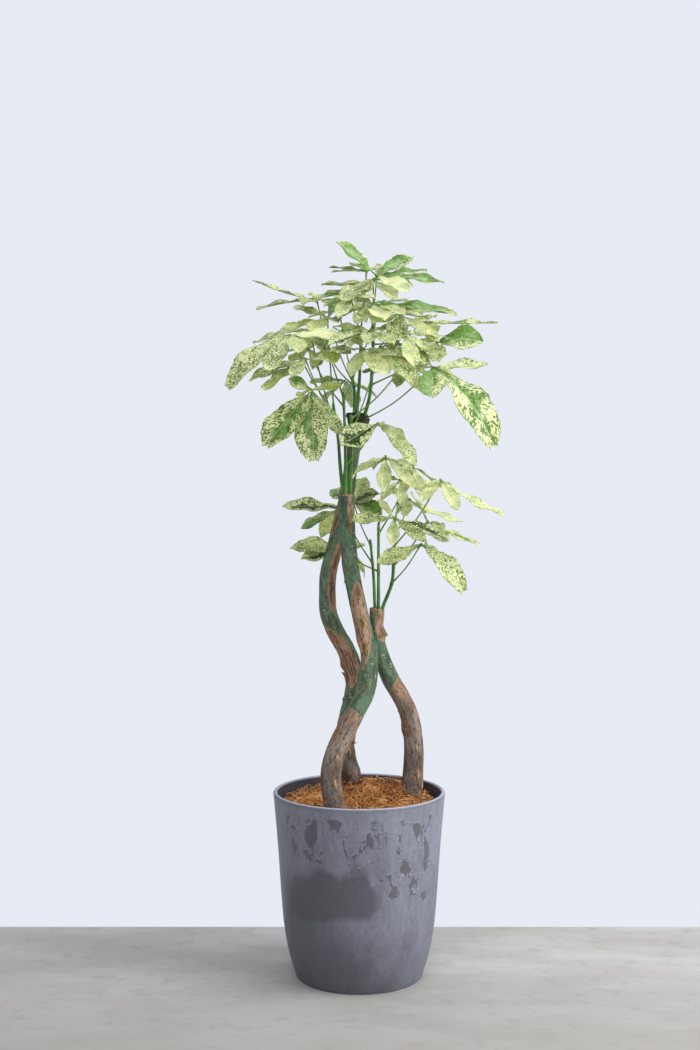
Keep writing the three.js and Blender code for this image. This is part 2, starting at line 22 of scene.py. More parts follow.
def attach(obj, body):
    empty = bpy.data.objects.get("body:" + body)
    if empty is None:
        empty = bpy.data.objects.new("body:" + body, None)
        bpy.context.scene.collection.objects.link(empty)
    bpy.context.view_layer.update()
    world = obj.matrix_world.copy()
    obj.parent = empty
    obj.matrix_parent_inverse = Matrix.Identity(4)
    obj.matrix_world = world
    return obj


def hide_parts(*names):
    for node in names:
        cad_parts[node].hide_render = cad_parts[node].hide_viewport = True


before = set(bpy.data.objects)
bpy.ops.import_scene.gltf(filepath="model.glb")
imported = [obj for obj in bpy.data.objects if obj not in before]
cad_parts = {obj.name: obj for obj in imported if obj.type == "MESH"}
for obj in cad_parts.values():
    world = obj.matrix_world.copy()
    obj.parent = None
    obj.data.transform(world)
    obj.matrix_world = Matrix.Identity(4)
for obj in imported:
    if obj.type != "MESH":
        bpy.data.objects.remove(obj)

log = logging.getLogger("money_tree")

MM = 0.001
TOUCH = 1e-6  # points nearer than this, in metres, are one
BODY = "root"
Value = Union[float, Sequence[float], "Signal"]
Colour = tuple[float, ...]
Line = Sequence[Sequence[float]]


# Colour and node helpers ---------------------------------------------------------------------


def paint(red: int, green: int, blue: int) -> Colour:
    """A colour from 8-bit display values, as a shader wants it.

    Args:
        red: 0 to 255.
        green: 0 to 255.
        blue: 0 to 255.

    Returns:
        Linear red, green, blue and an alpha of 1.
    """
    parts = [c / 255 for c in (red, green, blue)]
    r, g, b = (c / 12.92 if c <= 0.04045 else ((c + 0.055) / 1.055) ** 2.4 for c in parts)
    return r, g, b, 1.0


class Signal:
    """What a node gives out. A plain sum on it adds a Math node to the same recipe."""

    def __init__(self, recipe: "Recipe", socket: bpy.types.NodeSocket) -> None:
        """Holds an output socket of the recipe's tree."""
        self.recipe = recipe
        self.socket = socket

    def __add__(self, other: Value) -> "Signal":
        """This plus the other."""
        return self.recipe.maths("ADD", self, other)

    def __radd__(self, other: Value) -> "Signal":
        """The other plus this."""
        return self.recipe.maths("ADD", other, self)

    def __sub__(self, other: Value) -> "Signal":
        """This less the other."""
        return self.recipe.maths("SUBTRACT", self, other)

    def __rsub__(self, other: Value) -> "Signal":
        """The other less this."""
        return self.recipe.maths("SUBTRACT", other, self)

    def __mul__(self, other: Value) -> "Signal":
        """This times the other."""
        return self.recipe.maths("MULTIPLY", self, other)

    def __truediv__(self, other: Value) -> "Signal":
        """This divided by the other."""
        return self.recipe.maths("DIVIDE", self, other)


class Recipe:
    """One material's node tree, with a short call for each kind of node that the finishes use."""

    def __init__(self, name: str, specular: float = 0.5) -> None:
        """Starts a material with its Principled shader.

        Args:
            name: the material's name.
            specular: strength of the surface's plain reflection.
        """
        self.material = bpy.data.materials.new(name)
        self.material.use_nodes = True
        self.tree = self.material.node_tree
        self.shader = self.tree.nodes["Principled BSDF"]
        self.shader.inputs["Specular IOR Level"].default_value = specular
        self.place = self.signal("ShaderNodeTexCoord", output="Object")

    def node(self, kind: str, inputs: Optional[dict[Any, Value]] = None,
             **settings: Any) -> bpy.types.Node:
        """Adds a node.

        Args:
            kind: the node's type.
            inputs: what goes into its sockets, by name or number.
            settings: the node's own properties.

        Returns:
            The new node.
        """
        made = self.tree.nodes.new(kind)
        for name, setting in settings.items():
            setattr(made, name, setting)
        for key, value in (inputs or {}).items():
            self.feed(made.inputs[key], value)
        return made

    def signal(self, kind: str, inputs: Optional[dict[Any, Value]] = None, output: Any = 0,
               **settings: Any) -> Signal:
        """Adds a node and gives one of its outputs, by name or number."""
        return Signal(self, self.node(kind, inputs, **settings).outputs[output])

    def feed(self, socket: bpy.types.NodeSocket, value: Value) -> None:
        """Links a signal into an input socket, or sets its plain number or colour."""
        if isinstance(value, Signal):
            self.tree.links.new(value.socket, socket)
        else:
            socket.default_value = value

    def stretched(self, stretch: Sequence[float], shift: Sequence[float] = (0, 0, 0)) -> Signal:
        """Object coordinates scaled by stretch and moved by shift."""
        inputs = {"Vector": self.place, "Scale": stretch, "Location": shift}
        return self.signal("ShaderNodeMapping", inputs)

    def axis(self, name: str) -> Signal:
        """One object coordinate, X, Y or Z, in metres."""
        return self.signal("ShaderNodeSeparateXYZ", {0: self.place}, name)

    def follow(self, name: str) -> None:
        """Lays all later patterns along one of the mesh's own vector attributes."""
        self.place = self.signal("ShaderNodeAttribute", output="Vector", attribute_name=name)

    def noise_at(self, x: Value, y: Value, z: Value, detail: float = 2) -> Signal:
        """Cloudy noise from 0 to 1 at coordinates of the finish's own."""
        spot = self.signal("ShaderNodeCombineXYZ", {0: x, 1: y, 2: z})
        return self.signal("ShaderNodeTexNoise", {"Vector": spot, "Scale": 1.0, "Detail": detail})

    def noise(self, scale: float, detail: float = 4, roughness: float = 0.55,
              stretch: Sequence[float] = (1, 1, 1), shift: Sequence[float] = (0, 0, 0),
              distortion: float = 0) -> Signal:
        """Cloudy noise from 0 to 1.

        Args:
            scale: lumps per metre.
            detail: how many finer layers it has.
            roughness: how strong the finer layers are.
            stretch: scale of each object axis.
            shift: move of the pattern.
            distortion: how much the pattern is bent.

        Returns:
            The noise's value.
        """
        inputs = {"Vector": self.stretched(stretch, shift), "Scale": scale, "Detail": detail,
                  "Roughness": roughness, "Distortion": distortion}
        return self.signal("ShaderNodeTexNoise", inputs)

    def cells(self, scale: float, stretch: Sequence[float] = (1, 1, 1),
              output: str = "Distance") -> Signal:
        """A cell pattern: the distance to each cell's middle, or its colour."""
        inputs = {"Vector": self.stretched(stretch), "Scale": scale}
        return self.signal("ShaderNodeTexVoronoi", inputs, output)

    def attribute(self, name: str) -> tuple[Signal, Signal, Signal]:
        """The three channels of one of the mesh's own colour attributes."""
        source = self.signal("ShaderNodeAttribute", output="Color", attribute_name=name)
        red, green, blue = self.node("ShaderNodeSeparateColor", {0: source}).outputs
        return Signal(self, red), Signal(self, green), Signal(self, blue)

    def maths(self, operation: str, first: Value, second: Value = 0.0,
              clamp: bool = False) -> Signal:
        """One sum on two values, such as ABSOLUTE or MAXIMUM."""
        return self.signal("ShaderNodeMath", {0: first, 1: second}, operation=operation,
                           use_clamp=clamp)

    def rise(self, value: Value, low: float, high: float, top: float = 1.0) -> Signal:
        """A smooth step from 0 at low to top at high. Low may be the greater."""
        inputs = {0: value, 1: low, 2: high, 3: 0.0, 4: top}
        if low > high:
            inputs = {0: value, 1: high, 2: low, 3: top, 4: 0.0}
        return self.signal("ShaderNodeMapRange", inputs, interpolation_type="SMOOTHSTEP")

    def blend(self, amount: Value, first: Value, second: Value) -> Signal:
        """Mixes two colours.

        Args:
            amount: 0 for the first colour, 1 for the second.
            first: the colour underneath.
            second: the colour laid over it.

        Returns:
            The mixed colour.
        """
        inputs = {0: amount, 6: first, 7: second}
        return self.signal("ShaderNodeMix", inputs, 2, data_type="RGBA")

    def bump(self, height: Signal, distance: float, strength: float = 1.0,
             under: Optional[Signal] = None) -> Signal:
        """Relief from a height, laid over an earlier relief if there is one."""
        inputs = {"Height": height, "Distance": distance, "Strength": strength}
        if under is not None:
            inputs["Normal"] = under
        return self.signal("ShaderNodeBump", inputs)

    def finished(self, colour: Value, roughness: Value, normal: Signal) -> bpy.types.Material:
        """Fills in the shader and returns the material."""
        self.feed(self.shader.inputs["Base Color"], colour)
        self.feed(self.shader.inputs["Roughness"], roughness)
        self.feed(self.shader.inputs["Normal"], normal)
        return self.material

    def translucent(self, colour: Signal, normal: Signal, share: float) -> None:
        """Lets light through: mixes a share of translucent shader into the surface."""
        inputs = {"Color": colour, "Normal": normal}
        self.mix_in(share, self.signal("ShaderNodeBsdfTranslucent", inputs))

    def mix_in(self, share: Value, other: Signal) -> None:
        """Mixes a share of another shader into the surface."""
        own = Signal(self, self.shader.outputs[0])
        both = self.signal("ShaderNodeMixShader", {0: share, 1: own, 2: other})
        self.feed(self.tree.nodes["Material Output"].inputs["Surface"], both)


# Finishes --------------------------------------------------------------------------------------


@dataclass(frozen=True)
class ResinFinish:
    """Slate grey moulded resin under a pale chalky bloom that water has run through."""

    name: str
    slate: Colour = paint(76, 76, 84)
    bloom_and_painted_light: Colour = paint(126, 129, 144)
    chalk_and_highlight: Colour = paint(170, 175, 192)
    haze: float = 0.8  # how much bloom there is where nothing has washed it off
    rough: float = 0.4
    gloss: float = 0.35
    patch_middle: tuple[float, float] = (-0.046, 0.174)  # the big bare patch, in x and z
    patch_half: tuple[float, float] = (0.070, 0.042)
    # The larger islands: x and z of the middle, and reach.
    washes: tuple[tuple[float, float, float], ...] = (
        (-0.081, 0.280, 0.024), (-0.039, 0.296, 0.017), (0.024, 0.275, 0.019),
        (0.101, 0.281, 0.018), (0.077, 0.214, 0.016), (0.111, 0.216, 0.015),
        (0.055, 0.170, 0.016), (0.092, 0.190, 0.014), (0.065, 0.249, 0.010),
        (-0.086, 0.232, 0.008), (0.020, 0.237, 0.009), (0.111, 0.166, 0.012))

    def warp(self, r: Recipe) -> Signal:
        """Slow bends, in metres, that keep the edges from running straight."""
        return (r.noise(16, 3) - 0.5) * 0.07

    def islands(self, r: Recipe, lower: float) -> Signal:
        """Where water has washed the bloom off, in ragged islands that drip downward.

        Args:
            r: the material's recipe.
            lower: how far below each point to look, in metres.

        Returns:
            1 inside an island and 0 outside.
        """
        large = r.noise(40, 7, 0.66, (1, 1, 0.55), (0.52, 0.12, -0.55 * lower), 0.45)
        small = r.noise(115, 5, 0.62, (1, 1, 0.45), (0.1, 0.7, -0.45 * lower), 0.5)
        height, across = r.axis("Z"), r.axis("X")
        warp = self.warp(r)
        reach = height + (warp + across * 0.42)
        zone = r.rise(reach, 0.14, 0.215) * r.rise(height, 0.312, 0.298)
        fade = (zone - 1.0) * 0.3
        level = r.maths("MAXIMUM", large, small * 0.94)
        near: Value = 0.0
        spot = r.signal("ShaderNodeCombineXYZ", {0: across, 2: (height + lower) * 0.7})
        for x, z, size in self.washes:
            ends = {0: spot, 1: (x, 0, 0.7 * z)}
            away = r.signal("ShaderNodeVectorMath", ends, "Value", operation="DISTANCE")
            near = r.maths("MAXIMUM", near, r.rise(away, size, 0.0))
        level += near * 0.115
        return r.rise(level + fade, 0.578, 0.59)

    def patch(self, r: Recipe) -> Signal:
        """The big bare patch, left of the middle at the front, with soft sides."""
        (mx, mz), (hx, hz) = self.patch_middle, self.patch_half
        height, across = r.axis("Z"), r.axis("X")
        warp = self.warp(r)
        lean = (height - mz) * -0.06
        aside = across + (warp + lean) - mx
        sides = r.rise(r.maths("ABSOLUTE", aside), hx + 0.014, hx - 0.008)
        # Two humps at the top, rounded shoulders, and a crisper foot.
        bow = r.maths("MINIMUM", (across + 0.006) * 98.0, math.pi)
        dome = r.maths("COSINE", bow) * 0.007 + across * 0.12
        out = r.maths("ABSOLUTE", aside) / hx
        shoulder = r.maths("POWER", out, 5.0) * 0.016
        top = height - dome + (warp + shoulder)
        above = r.rise(top, mz + hz + 0.016, mz + hz - 0.012)
        foot = height - across * 0.1
        below = r.rise(foot + warp * 0.4, mz - hz - 0.005, mz - hz + 0.008)
        front = r.rise(r.axis("Y"), -0.02, -0.06)
        return above * below * (sides * front)

    def build(self) -> bpy.types.Material:
        """Makes the material."""
        r = Recipe(self.name, specular=self.gloss)
        height, across = r.axis("Z"), r.axis("X")
        run = self.islands(r, 0.0)
        # A thin pale line along the upper edge of each island is a painted highlight.
        rim = self.islands(r, 0.0013) * (1.0 - run)
        rim *= r.rise(r.noise(60, 2), 0.44, 0.56, 0.75)
        # The pot is darker towards the foot, and the bloom thins in upright streaks.
        streaks = r.noise(34, 5, 0.62, (1, 1, 0.09), (0.7, 0, 0))
        mottle = r.noise(15, 5, 0.68, (1, 1, 0.7), (0.2, 0.8, 0.4))
        warp = self.warp(r)
        foot = r.rise(height + warp, 0.01, 0.15, 0.32)
        bloom_and_painted_light = foot + r.rise(height, 0.15, 0.3, 0.25)
        bloom_and_painted_light += r.rise(streaks, 0.32, 0.68, 0.26)
        bloom_and_painted_light += r.rise(mottle, 0.36, 0.64, 0.26)
        # Painted light: the bloom is painted stronger toward the right, the window side, so that
        # side reads lighter.
        bloom_and_painted_light += r.rise(across, -0.12, 0.13, 0.34)
        # Painted shade: less bloom toward the lower left, so that corner reads darker.
        lower_left_shade = height + warp + across
        bloom_and_painted_light *= r.rise(lower_left_shade, 0.0, 0.13, 0.7) + 0.3
        bloom_and_painted_light = r.maths("MULTIPLY", bloom_and_painted_light, self.haze, clamp=True)
        bare = r.maths("MAXIMUM", run * 0.76, self.patch(r) * 0.82)
        bloom_and_painted_light *= 1.0 - bare
        colour = r.blend(bloom_and_painted_light, self.slate, self.bloom_and_painted_light)
        colour = r.blend(rim, colour, self.chalk_and_highlight)
        dust = r.rise(r.noise(300, 5, 0.7, (1, 1, 0.5)), 0.46, 0.7, 0.2) * bloom_and_painted_light
        colour = r.blend(dust, colour, self.chalk_and_highlight)
        colour = r.blend(r.rise(r.noise(95, 4, 0.6, (1, 1, 0.5)), 0.58, 0.34, 0.22), colour,
                         self.slate)
        # The lip's crest is painted pale as a painted highlight, over a darker band.
        band = r.rise(height, 0.3165, 0.3185) * r.rise(height, 0.3222, 0.3205)
        colour = r.blend(band * 0.4, colour, self.slate)
        colour = r.blend(r.rise(height, 0.3212, 0.3226, 0.75), colour, self.chalk_and_highlight)
        roughness = self.rough + bloom_and_painted_light * 0.2
        relief = r.bump(r.noise(520, 3, 0.6), 0.0004, 0.35)
        return r.finished(colour, roughness, r.bump(bloom_and_painted_light, 0.0004, 0.2, relief))


@dataclass(frozen=True)
class EarthFinish:
    """Dark crumbly potting soil with pale grit."""

    name: str
    dark: Colour = paint(38, 27, 19)
    light: Colour = paint(84, 62, 44)
    grit: Colour = paint(168, 156, 138)

    def build(self) -> bpy.types.Material:
        """Makes the material."""
        r = Recipe(self.name, specular=0.2)
        crumbs = r.noise(190, 6, 0.7)
        colour = r.blend(r.rise(crumbs, 0.35, 0.7), self.dark, self.light)
        colour = r.blend(r.rise(r.cells(240), 0.16, 0.08), colour, self.grit)
        relief = r.bump(crumbs, 0.003, 0.8)
        return r.finished(colour, r.rise(crumbs, 0.9, 0.2, 0.95), relief)


@dataclass(frozen=True)
class CoirFinish:
    """Coconut fibre: clumps and strands of dark and bleached tan."""

    name: str
    dark: Colour
    light: Colour

    def build(self) -> bpy.types.Material:
        """Makes the material."""
        r = Recipe(self.name, specular=0.25)
        clumps = r.noise(28, 3, 0.5)
        strand = r.noise(420, 4, 0.6)
        tone = clumps * 0.6 + strand * 0.4
        colour = r.blend(r.rise(tone, 0.36, 0.64), self.dark, self.light)
        relief = r.bump(r.noise(900, 2), 0.0003, 0.5)
        return r.finished(colour, r.rise(strand, 1.1, 0.0, 0.95), relief)


@dataclass(frozen=True)
class BarkFinish:
    """Green-grey young bark that peels to pink-brown patches and ages to grey-brown below.

    The mesh's bark attribute holds peel, age and callus, and its grain attribute runs round and
    along the trunk in metres, so that the fibres follow its bends.
    """

    name: str
    green: Colour = paint(92, 126, 98)
    green_dark: Colour = paint(54, 85, 62)
    green_haze: Colour = paint(140, 164, 142)
    brown: Colour = paint(134, 102, 80)
    brown_dark: Colour = paint(62, 46, 38)
    pink: Colour = paint(180, 148, 128)
    ochre: Colour = paint(150, 122, 66)
    grey: Colour = paint(148, 138, 130)
    grey_dark: Colour = paint(54, 49, 47)
    tan: Colour = paint(200, 166, 124)
    callus: Colour = paint(44, 44, 28)

    def cracks(self, r: Recipe, scale: float, stretch: Sequence[float], width: float) -> Signal:
        """Fine winding cracks.

        Args:
            r: the material's recipe.
            scale: how many there are in a metre.
            stretch: scale of the grain's axes.
            width: how wide they open.

        Returns:
            1 in a crack and 0 outside.
        """
        winding = r.noise(scale, 4, 0.6, stretch, (0.4, 0.8, 0.1), 0.3)
        away = r.maths("ABSOLUTE", winding - 0.5)
        return r.rise(away, width, 0.3 * width)

    def green_bark(self, r: Recipe) -> Signal:
        """Waxy green bark, hazed in streaks, with tan scars and brown scurf."""
        fibre = r.noise(260, 6, 0.78, (1, 1, 0.2))
        colour = r.blend(r.rise(r.noise(60, 6, 0.7, (1, 1, 0.5)), 0.38, 0.6), self.green_dark,
                         self.green)
        colour = r.blend(r.rise(fibre, 0.48, 0.7, 0.65), colour, self.green_haze)
        colour = r.blend(r.rise(fibre, 0.46, 0.34, 0.7), colour, self.green_dark)
        haze = r.rise(r.noise(36, 5, 0.7, (1, 1, 0.5), (0.5, 0.1, 0.4)), 0.54, 0.66, 0.45)
        colour = r.blend(haze, colour, self.grey)
        split = self.cracks(r, 70, (1, 1, 0.3), 0.02)
        split *= r.rise(r.noise(30, 2, shift=(0.3, 0.3, 0.8)), 0.48, 0.56, 0.7)
        colour = r.blend(split, colour, self.brown_dark)
        scurf = r.noise(150, 6, 0.75, (1, 1, 0.55), (0.3, 0.2, 0.9))
        colour = r.blend(r.rise(scurf, 0.565, 0.605, 0.8), colour, self.brown)
        colour = r.blend(r.rise(scurf, 0.63, 0.67, 0.8), colour, self.pink)
        # Scars lie in loose groups, longer across the trunk than along it.
        scars = r.rise(r.cells(84, (0.7, 0.7, 2.1)), 0.26, 0.16, 0.9)
        scars *= r.rise(r.noise(40, 3, shift=(0.9, 0.4, 0.2)), 0.5, 0.58)
        return r.blend(scars, colour, self.tan)

    def bald_bark(self, r: Recipe, age: Signal) -> tuple[Signal, Signal]:
        """Peeled bark: pink and brown fibres with dark cracks, greyer and pitted with age.

        Args:
            r: the material's recipe.
            age: 0 for a fresh patch and 1 for old bark.

        Returns:
            The colour, and the fibres' height.
        """
        fibres = r.noise(270, 6, 0.76, (1, 1, 0.1), (0.2, 0.4, 0), 0.2)
        pits = r.noise(210, 6, 0.8, (1, 1, 0.5), (0.7, 0.2, 0.1))
        broad = r.noise(50, 5, 0.64, (1, 1, 0.3), (0.6, 0.1, 0.3))
        young = r.blend(r.rise(broad, 0.4, 0.58), self.brown, self.pink)
        young = r.blend(r.rise(r.noise(44, 4, shift=(0.2, 0.9, 0.5)), 0.52, 0.62, 0.7), young,
                        self.ochre)
        young = r.blend(r.rise(fibres, 0.47, 0.38, 0.85), young, self.brown_dark)
        young = r.blend(r.rise(fibres, 0.53, 0.64, 0.65), young, self.tan)
        young = r.blend(r.rise(pits, 0.43, 0.36, 0.8), young, self.brown_dark)
        old = r.blend(r.rise(broad, 0.47, 0.6), self.grey, self.brown)
        old = r.blend(r.rise(fibres, 0.52, 0.62, 0.6), old, self.pink)
        old = r.blend(r.rise(r.noise(26, 5, 0.66, (1, 1, 0.4)), 0.56, 0.42, 0.5), old,
                      self.grey_dark)
        old = r.blend(r.rise(pits, 0.49, 0.39, 0.8), old, self.grey_dark)
        old = r.blend(r.rise(pits, 0.57, 0.68, 0.6), old, self.tan)
        dashes = r.rise(r.cells(120, (1, 1, 0.3)), 0.26, 0.14, 0.9)
        old = r.blend(dashes * r.rise(broad, 0.47, 0.54), old, self.tan)
        furrow = r.rise(r.noise(112, 5, 0.66, (1, 1, 0.09), (0.1, 0.9, 0)), 0.43, 0.35, 0.55)
        furrow = r.maths("MAXIMUM", furrow, self.cracks(r, 56, (1, 1, 0.22), 0.022) * 0.7)
        furrow *= 1.0 - age * 0.65
        bald = r.blend(furrow, r.blend(age, young, old), self.brown_dark)
        return (bald, fibres + pits)

    def build(self) -> bpy.types.Material:
        """Makes the material."""
        r = Recipe(self.name, specular=0.3)
        r.follow("grain")
        peel, age, knob = r.attribute("bark")
        ragged = r.noise(70, 6, 0.7, (1, 1, 0.4)) * 0.75 + r.noise(330, 4, 0.65, (1, 1, 0.35)) * 0.3
        torn = peel + (ragged - 0.525)
        bare = r.rise(torn, 0.48, 0.52)
        rim = r.rise(torn, 0.43, 0.49) * r.rise(torn, 0.6, 0.52)
        bald, fibres = self.bald_bark(r, age)
        colour = r.blend(bare, self.green_bark(r), bald)
        colour = r.blend(rim * 0.4, colour, self.tan)
        lumps = r.noise(190, 5, 0.7)
        knobbly = r.blend(r.rise(lumps, 0.5, 0.72, 0.7), self.callus, self.brown)
        colour = r.blend(knob, colour, knobbly)
        relief = r.bump(bare, 0.0012, 0.6)
        relief = r.bump(fibres, 0.0038, 0.9, relief)
        relief = r.bump(lumps, 0.0022, 0.7, relief)
        roughness = 0.5 + bare * 0.33
        return r.finished(colour, roughness, relief)


@dataclass(frozen=True)
class SawnWoodFinish:
    """A weathered saw cut: brown, cracked and dusty."""

    name: str
    wood: Colour = paint(128, 96, 70)
    dark: Colour = paint(66, 47, 36)
    pale: Colour = paint(176, 148, 118)

    def build(self) -> bpy.types.Material:
        """Makes the material."""
        r = Recipe(self.name, specular=0.2)
        rough = r.noise(240, 6, 0.7)
        colour = r.blend(r.rise(rough, 0.36, 0.66), self.dark, self.wood)
        colour = r.blend(r.rise(r.noise(120, 5, 0.6), 0.58, 0.74, 0.8), colour, self.pale)
        return r.finished(colour, 0.88, r.bump(rough, 0.0025, 0.7))


@dataclass(frozen=True)
class ShootFinish:
    """Fresh green stem, darker in patches, with pale corky specks."""

    name: str
    green: Colour = paint(82, 138, 54)
    dark: Colour = paint(44, 88, 34)
    pale: Colour = paint(142, 174, 92)
    glow: float = 0.0

    def build(self) -> bpy.types.Material:
        """Makes the material."""
        r = Recipe(self.name, specular=0.45)
        cloud = r.noise(45, 4, 0.6)
        grain = r.noise(500, 4, 0.6, (1, 1, 0.25))
        colour = r.blend(r.rise(cloud, 0.3, 0.68), self.dark, self.green)
        colour = r.blend(r.rise(grain, 0.55, 0.8, 0.6), colour, self.pale)
        relief = r.bump(grain, 0.0004, 0.5)
        made = r.finished(colour, r.rise(grain, 0.9, 0.1, 0.6), relief)
        if self.glow:
            r.translucent(colour, relief, self.glow)
        return made


@dataclass(frozen=True)
class BladeFinish:
    """Variegated leaf blade: cream, finely speckled with green, with green patches by the midrib.

    The mesh's habit attribute holds how far the green patches spread and on which half (above or
    below 0.5), how dense the speckles are and how far the cream turns to olive, partly as painted
    shade, and its fourth channel a number of the leaflet's own. Its UV map runs along and across
    the blade.
    """

    name: str
    cream: Colour = paint(240, 242, 198)
    olive: Colour = paint(208, 214, 104)
    green: Colour = paint(112, 156, 64)
    deep: Colour = paint(62, 106, 34)
    painted_sheen: Colour = paint(158, 192, 146)
    night: Colour = paint(30, 60, 24)
    vein: Colour = paint(206, 222, 166)
    faint: float = 0.0  # how much fainter the pattern is, for an under side
    glow: float = 0.34
    veins: float = 10.0

    def speckles(self, r: Recipe, density: Signal, slant: Signal, side: Signal,
                 number: Signal) -> tuple[Signal, Signal]:
        """Speckles of uneven size and strength, drawn out along the side veins.

        Args:
            r: the material's recipe.
            density: how dense they are, about 0 to 1.3.
            slant: place along the blade in the side veins' direction.
            side: place across it, -1 to 1.
            number: shifts the pattern from leaflet to leaflet.

        Returns:
            How strong the speckle is, and its colour.
        """
        fine = r.noise_at(slant * 46.0, side * 7.0, number, 3)
        coarse = r.noise(250, 3, 0.6, shift=(0.4, 0.2, 0.7))
        patchy = r.noise(55, 2, 0.5, shift=(0.1, 0.5, 0.2))
        speck = fine * 0.75 + coarse * 0.25
        speck += (patchy - 0.5) * 0.25
        covered = r.maths("MINIMUM", density, 1.0)
        bound = 0.612 - covered * 0.105
        over = speck - bound
        bold = r.rise(density, 0.3, 1.1, 0.3)
        strength = r.rise(over, -0.006, 0.014, 1.0 - self.faint) * (0.66 + bold)
        tone = r.rise(over, 0.0, 0.05) * r.rise(density, 0.35, 1.0)
        return strength, r.blend(tone, self.green, self.deep)

    def zones(self, r: Recipe, signed: Signal, own: Signal, along: Signal, side: Signal,
              slant: Signal) -> Signal:
        """Green patches beside the midrib, mostly on one half, torn along the side veins.

        Args:
            r: the material's recipe.
            signed: how far they spread, below 0 for the other half.
            own: the leaflet's own number, 0 to 1.
            along: place along the blade.
            side: place across it, -1 to 1.
            slant: place along it in the side veins' direction.

        Returns:
            How solid the green is.
        """
        amount = r.maths("ABSOLUTE", signed)
        half = r.maths("SIGN", side) * r.maths("SIGN", signed)
        spread = 0.78 + half * 0.42
        number = own * 37.0
        cover = r.noise_at(along * 3.4, r.maths("SIGN", side), number)
        torn = r.noise_at(slant * 24.0, side * 3.0, number, 4)
        reach = amount * spread
        reach += (cover - 0.5) * 2.4
        reach += (torn - 0.5) * 0.9
        reach -= r.rise(along, 0.78, 1.0, 0.7)
        inside = r.rise(reach - r.maths("ABSOLUTE", side), -0.02, 0.03)
        # Cream flecks show through.
        flecks = r.noise(290, 3, 0.6, (1, 1, 1), (0.2, 0.6, 0.9))
        inside *= r.rise(flecks, 0.37, 0.41)
        return inside * r.rise(amount, 0.03, 0.09, 1.0 - 0.4 * self.faint)

    def build(self) -> bpy.types.Material:
        """Makes the material."""
        r = Recipe(self.name, specular=0.45)
        zone, density, tone = r.attribute("habit")
        own = r.signal("ShaderNodeAttribute", output="Alpha", attribute_name="habit")
        chart = r.signal("ShaderNodeUVMap", uv_map="blade")
        along, across, _ = r.node("ShaderNodeSeparateXYZ", {0: chart}).outputs
        along, across = Signal(r, along), Signal(r, across)
        side = (across - 0.5) * 2.0
        out = r.maths("ABSOLUTE", side)
        # Side veins leave the midrib at a slant.
        slant = along - out * 0.12
        ridge = r.maths("COSINE", slant * (2 * math.pi * self.veins))
        lines = r.rise(ridge, 0.93, 0.995) * r.rise(out, 0.95, 0.7)
        midrib = r.rise(out, 0.05, 0.018)
        cloud = r.noise(38, 3, 0.55)
        # The turn to olive varies from leaflet to leaflet; on olive leaflets it is painted shade,
        # the yellow-green of leaves in the crown's shade.
        ground = r.blend(tone * r.rise(cloud, 0.25, 0.7), self.cream, self.olive)
        # Painted sheen: pale blue-green clouds stand in for sky reflected in the blade.
        ground = r.blend(r.rise(r.noise(46, 3, shift=(0.6, 0.6, 0.1)), 0.53, 0.66, 0.5), ground,
                         self.painted_sheen)
        strength, speck_green = self.speckles(r, density, slant, side, own * 53.0)
        signed = (zone - 0.5) * 2.0
        solid = self.zones(r, signed, own, along, side, slant)
        tint = r.noise(64, 4, 0.6, shift=(0.8, 0.3, 0.6))
        zone_green = r.blend(r.rise(tint, 0.5, 0.36, 0.75), self.green, self.deep)
        # Painted sheen over the green patches, away from the blade's edge.
        zone_sheen = r.rise(tint, 0.46, 0.6, 0.85) * r.rise(out, 0.8, 0.15)
        zone_green = r.blend(zone_sheen, zone_green, self.painted_sheen)
        zone_green = r.blend(r.rise(density, 1.05, 1.15, 0.92), zone_green, self.night)
        colour = r.blend(strength, ground, speck_green)
        colour = r.blend(solid, colour, zone_green)
        # A green hem, and green at the foot of the blade.
        hem = r.rise(out, 0.88, 0.98, 0.7) * r.rise(r.noise(95, 2), 0.42, 0.54)
        hem = r.maths("MAXIMUM", hem, r.rise(along, 0.13, 0.02, 0.6))
        colour = r.blend(hem, colour, self.green)
        colour = r.blend(lines * 0.12, colour, self.vein)
        colour = r.blend(midrib * 0.5, colour, self.vein)
        relief = r.bump(ridge * r.rise(out, 1.0, 0.85), 0.0005, 0.22)
        relief = r.bump(strength, 0.0003, 0.2, relief)
        made = r.finished(colour, r.rise(cloud, 1.3, 0.1, 0.55), relief)
        r.translucent(r.blend(0.35, colour, paint(216, 228, 122)), relief, self.glow)
        return made


@dataclass(frozen=True)
class FloorFinish:
    """Pale concrete floor that gives way to a bright paper ground behind the planter."""

    name: str
    concrete: Colour = paint(184, 185, 187)
    stain_and_shade: Colour = paint(148, 145, 141)
    paper: Colour = paint(231, 235, 244)
    edge: float = 0.262

    def build(self) -> bpy.types.Material:
        """Makes the material."""
        r = Recipe(self.name, specular=0.2)
        cloud = r.noise(3.2, 6, 0.62, (0.6, 1.4, 1))
        colour = r.blend(r.rise(cloud, 0.3, 0.7, 0.5), self.concrete, self.stain_and_shade)
        colour = r.blend(r.rise(r.noise(26, 6, 0.7), 0.5, 0.7, 0.45), colour, self.stain_and_shade)
        colour = r.blend(r.rise(r.noise(9, 6, 0.7, (0.4, 1, 1)), 0.47, 0.5, 0.12), colour,
                         self.stain_and_shade)
        # Painted shade: the floor is darker towards the front.
        colour = r.blend(r.rise(r.axis("Y"), 0.15, -0.55, 0.75), colour, self.stain_and_shade)
        made = r.finished(colour, 0.8, r.bump(r.noise(60, 4), 0.0005, 0.2))
        bright = r.signal("ShaderNodeEmission", {"Color": self.paper})
        behind = r.rise(r.axis("Y"), self.edge, self.edge + 0.002)
        r.mix_in(behind, bright)
        return made


# Mesh helpers ----------------------------------------------------------------------------------


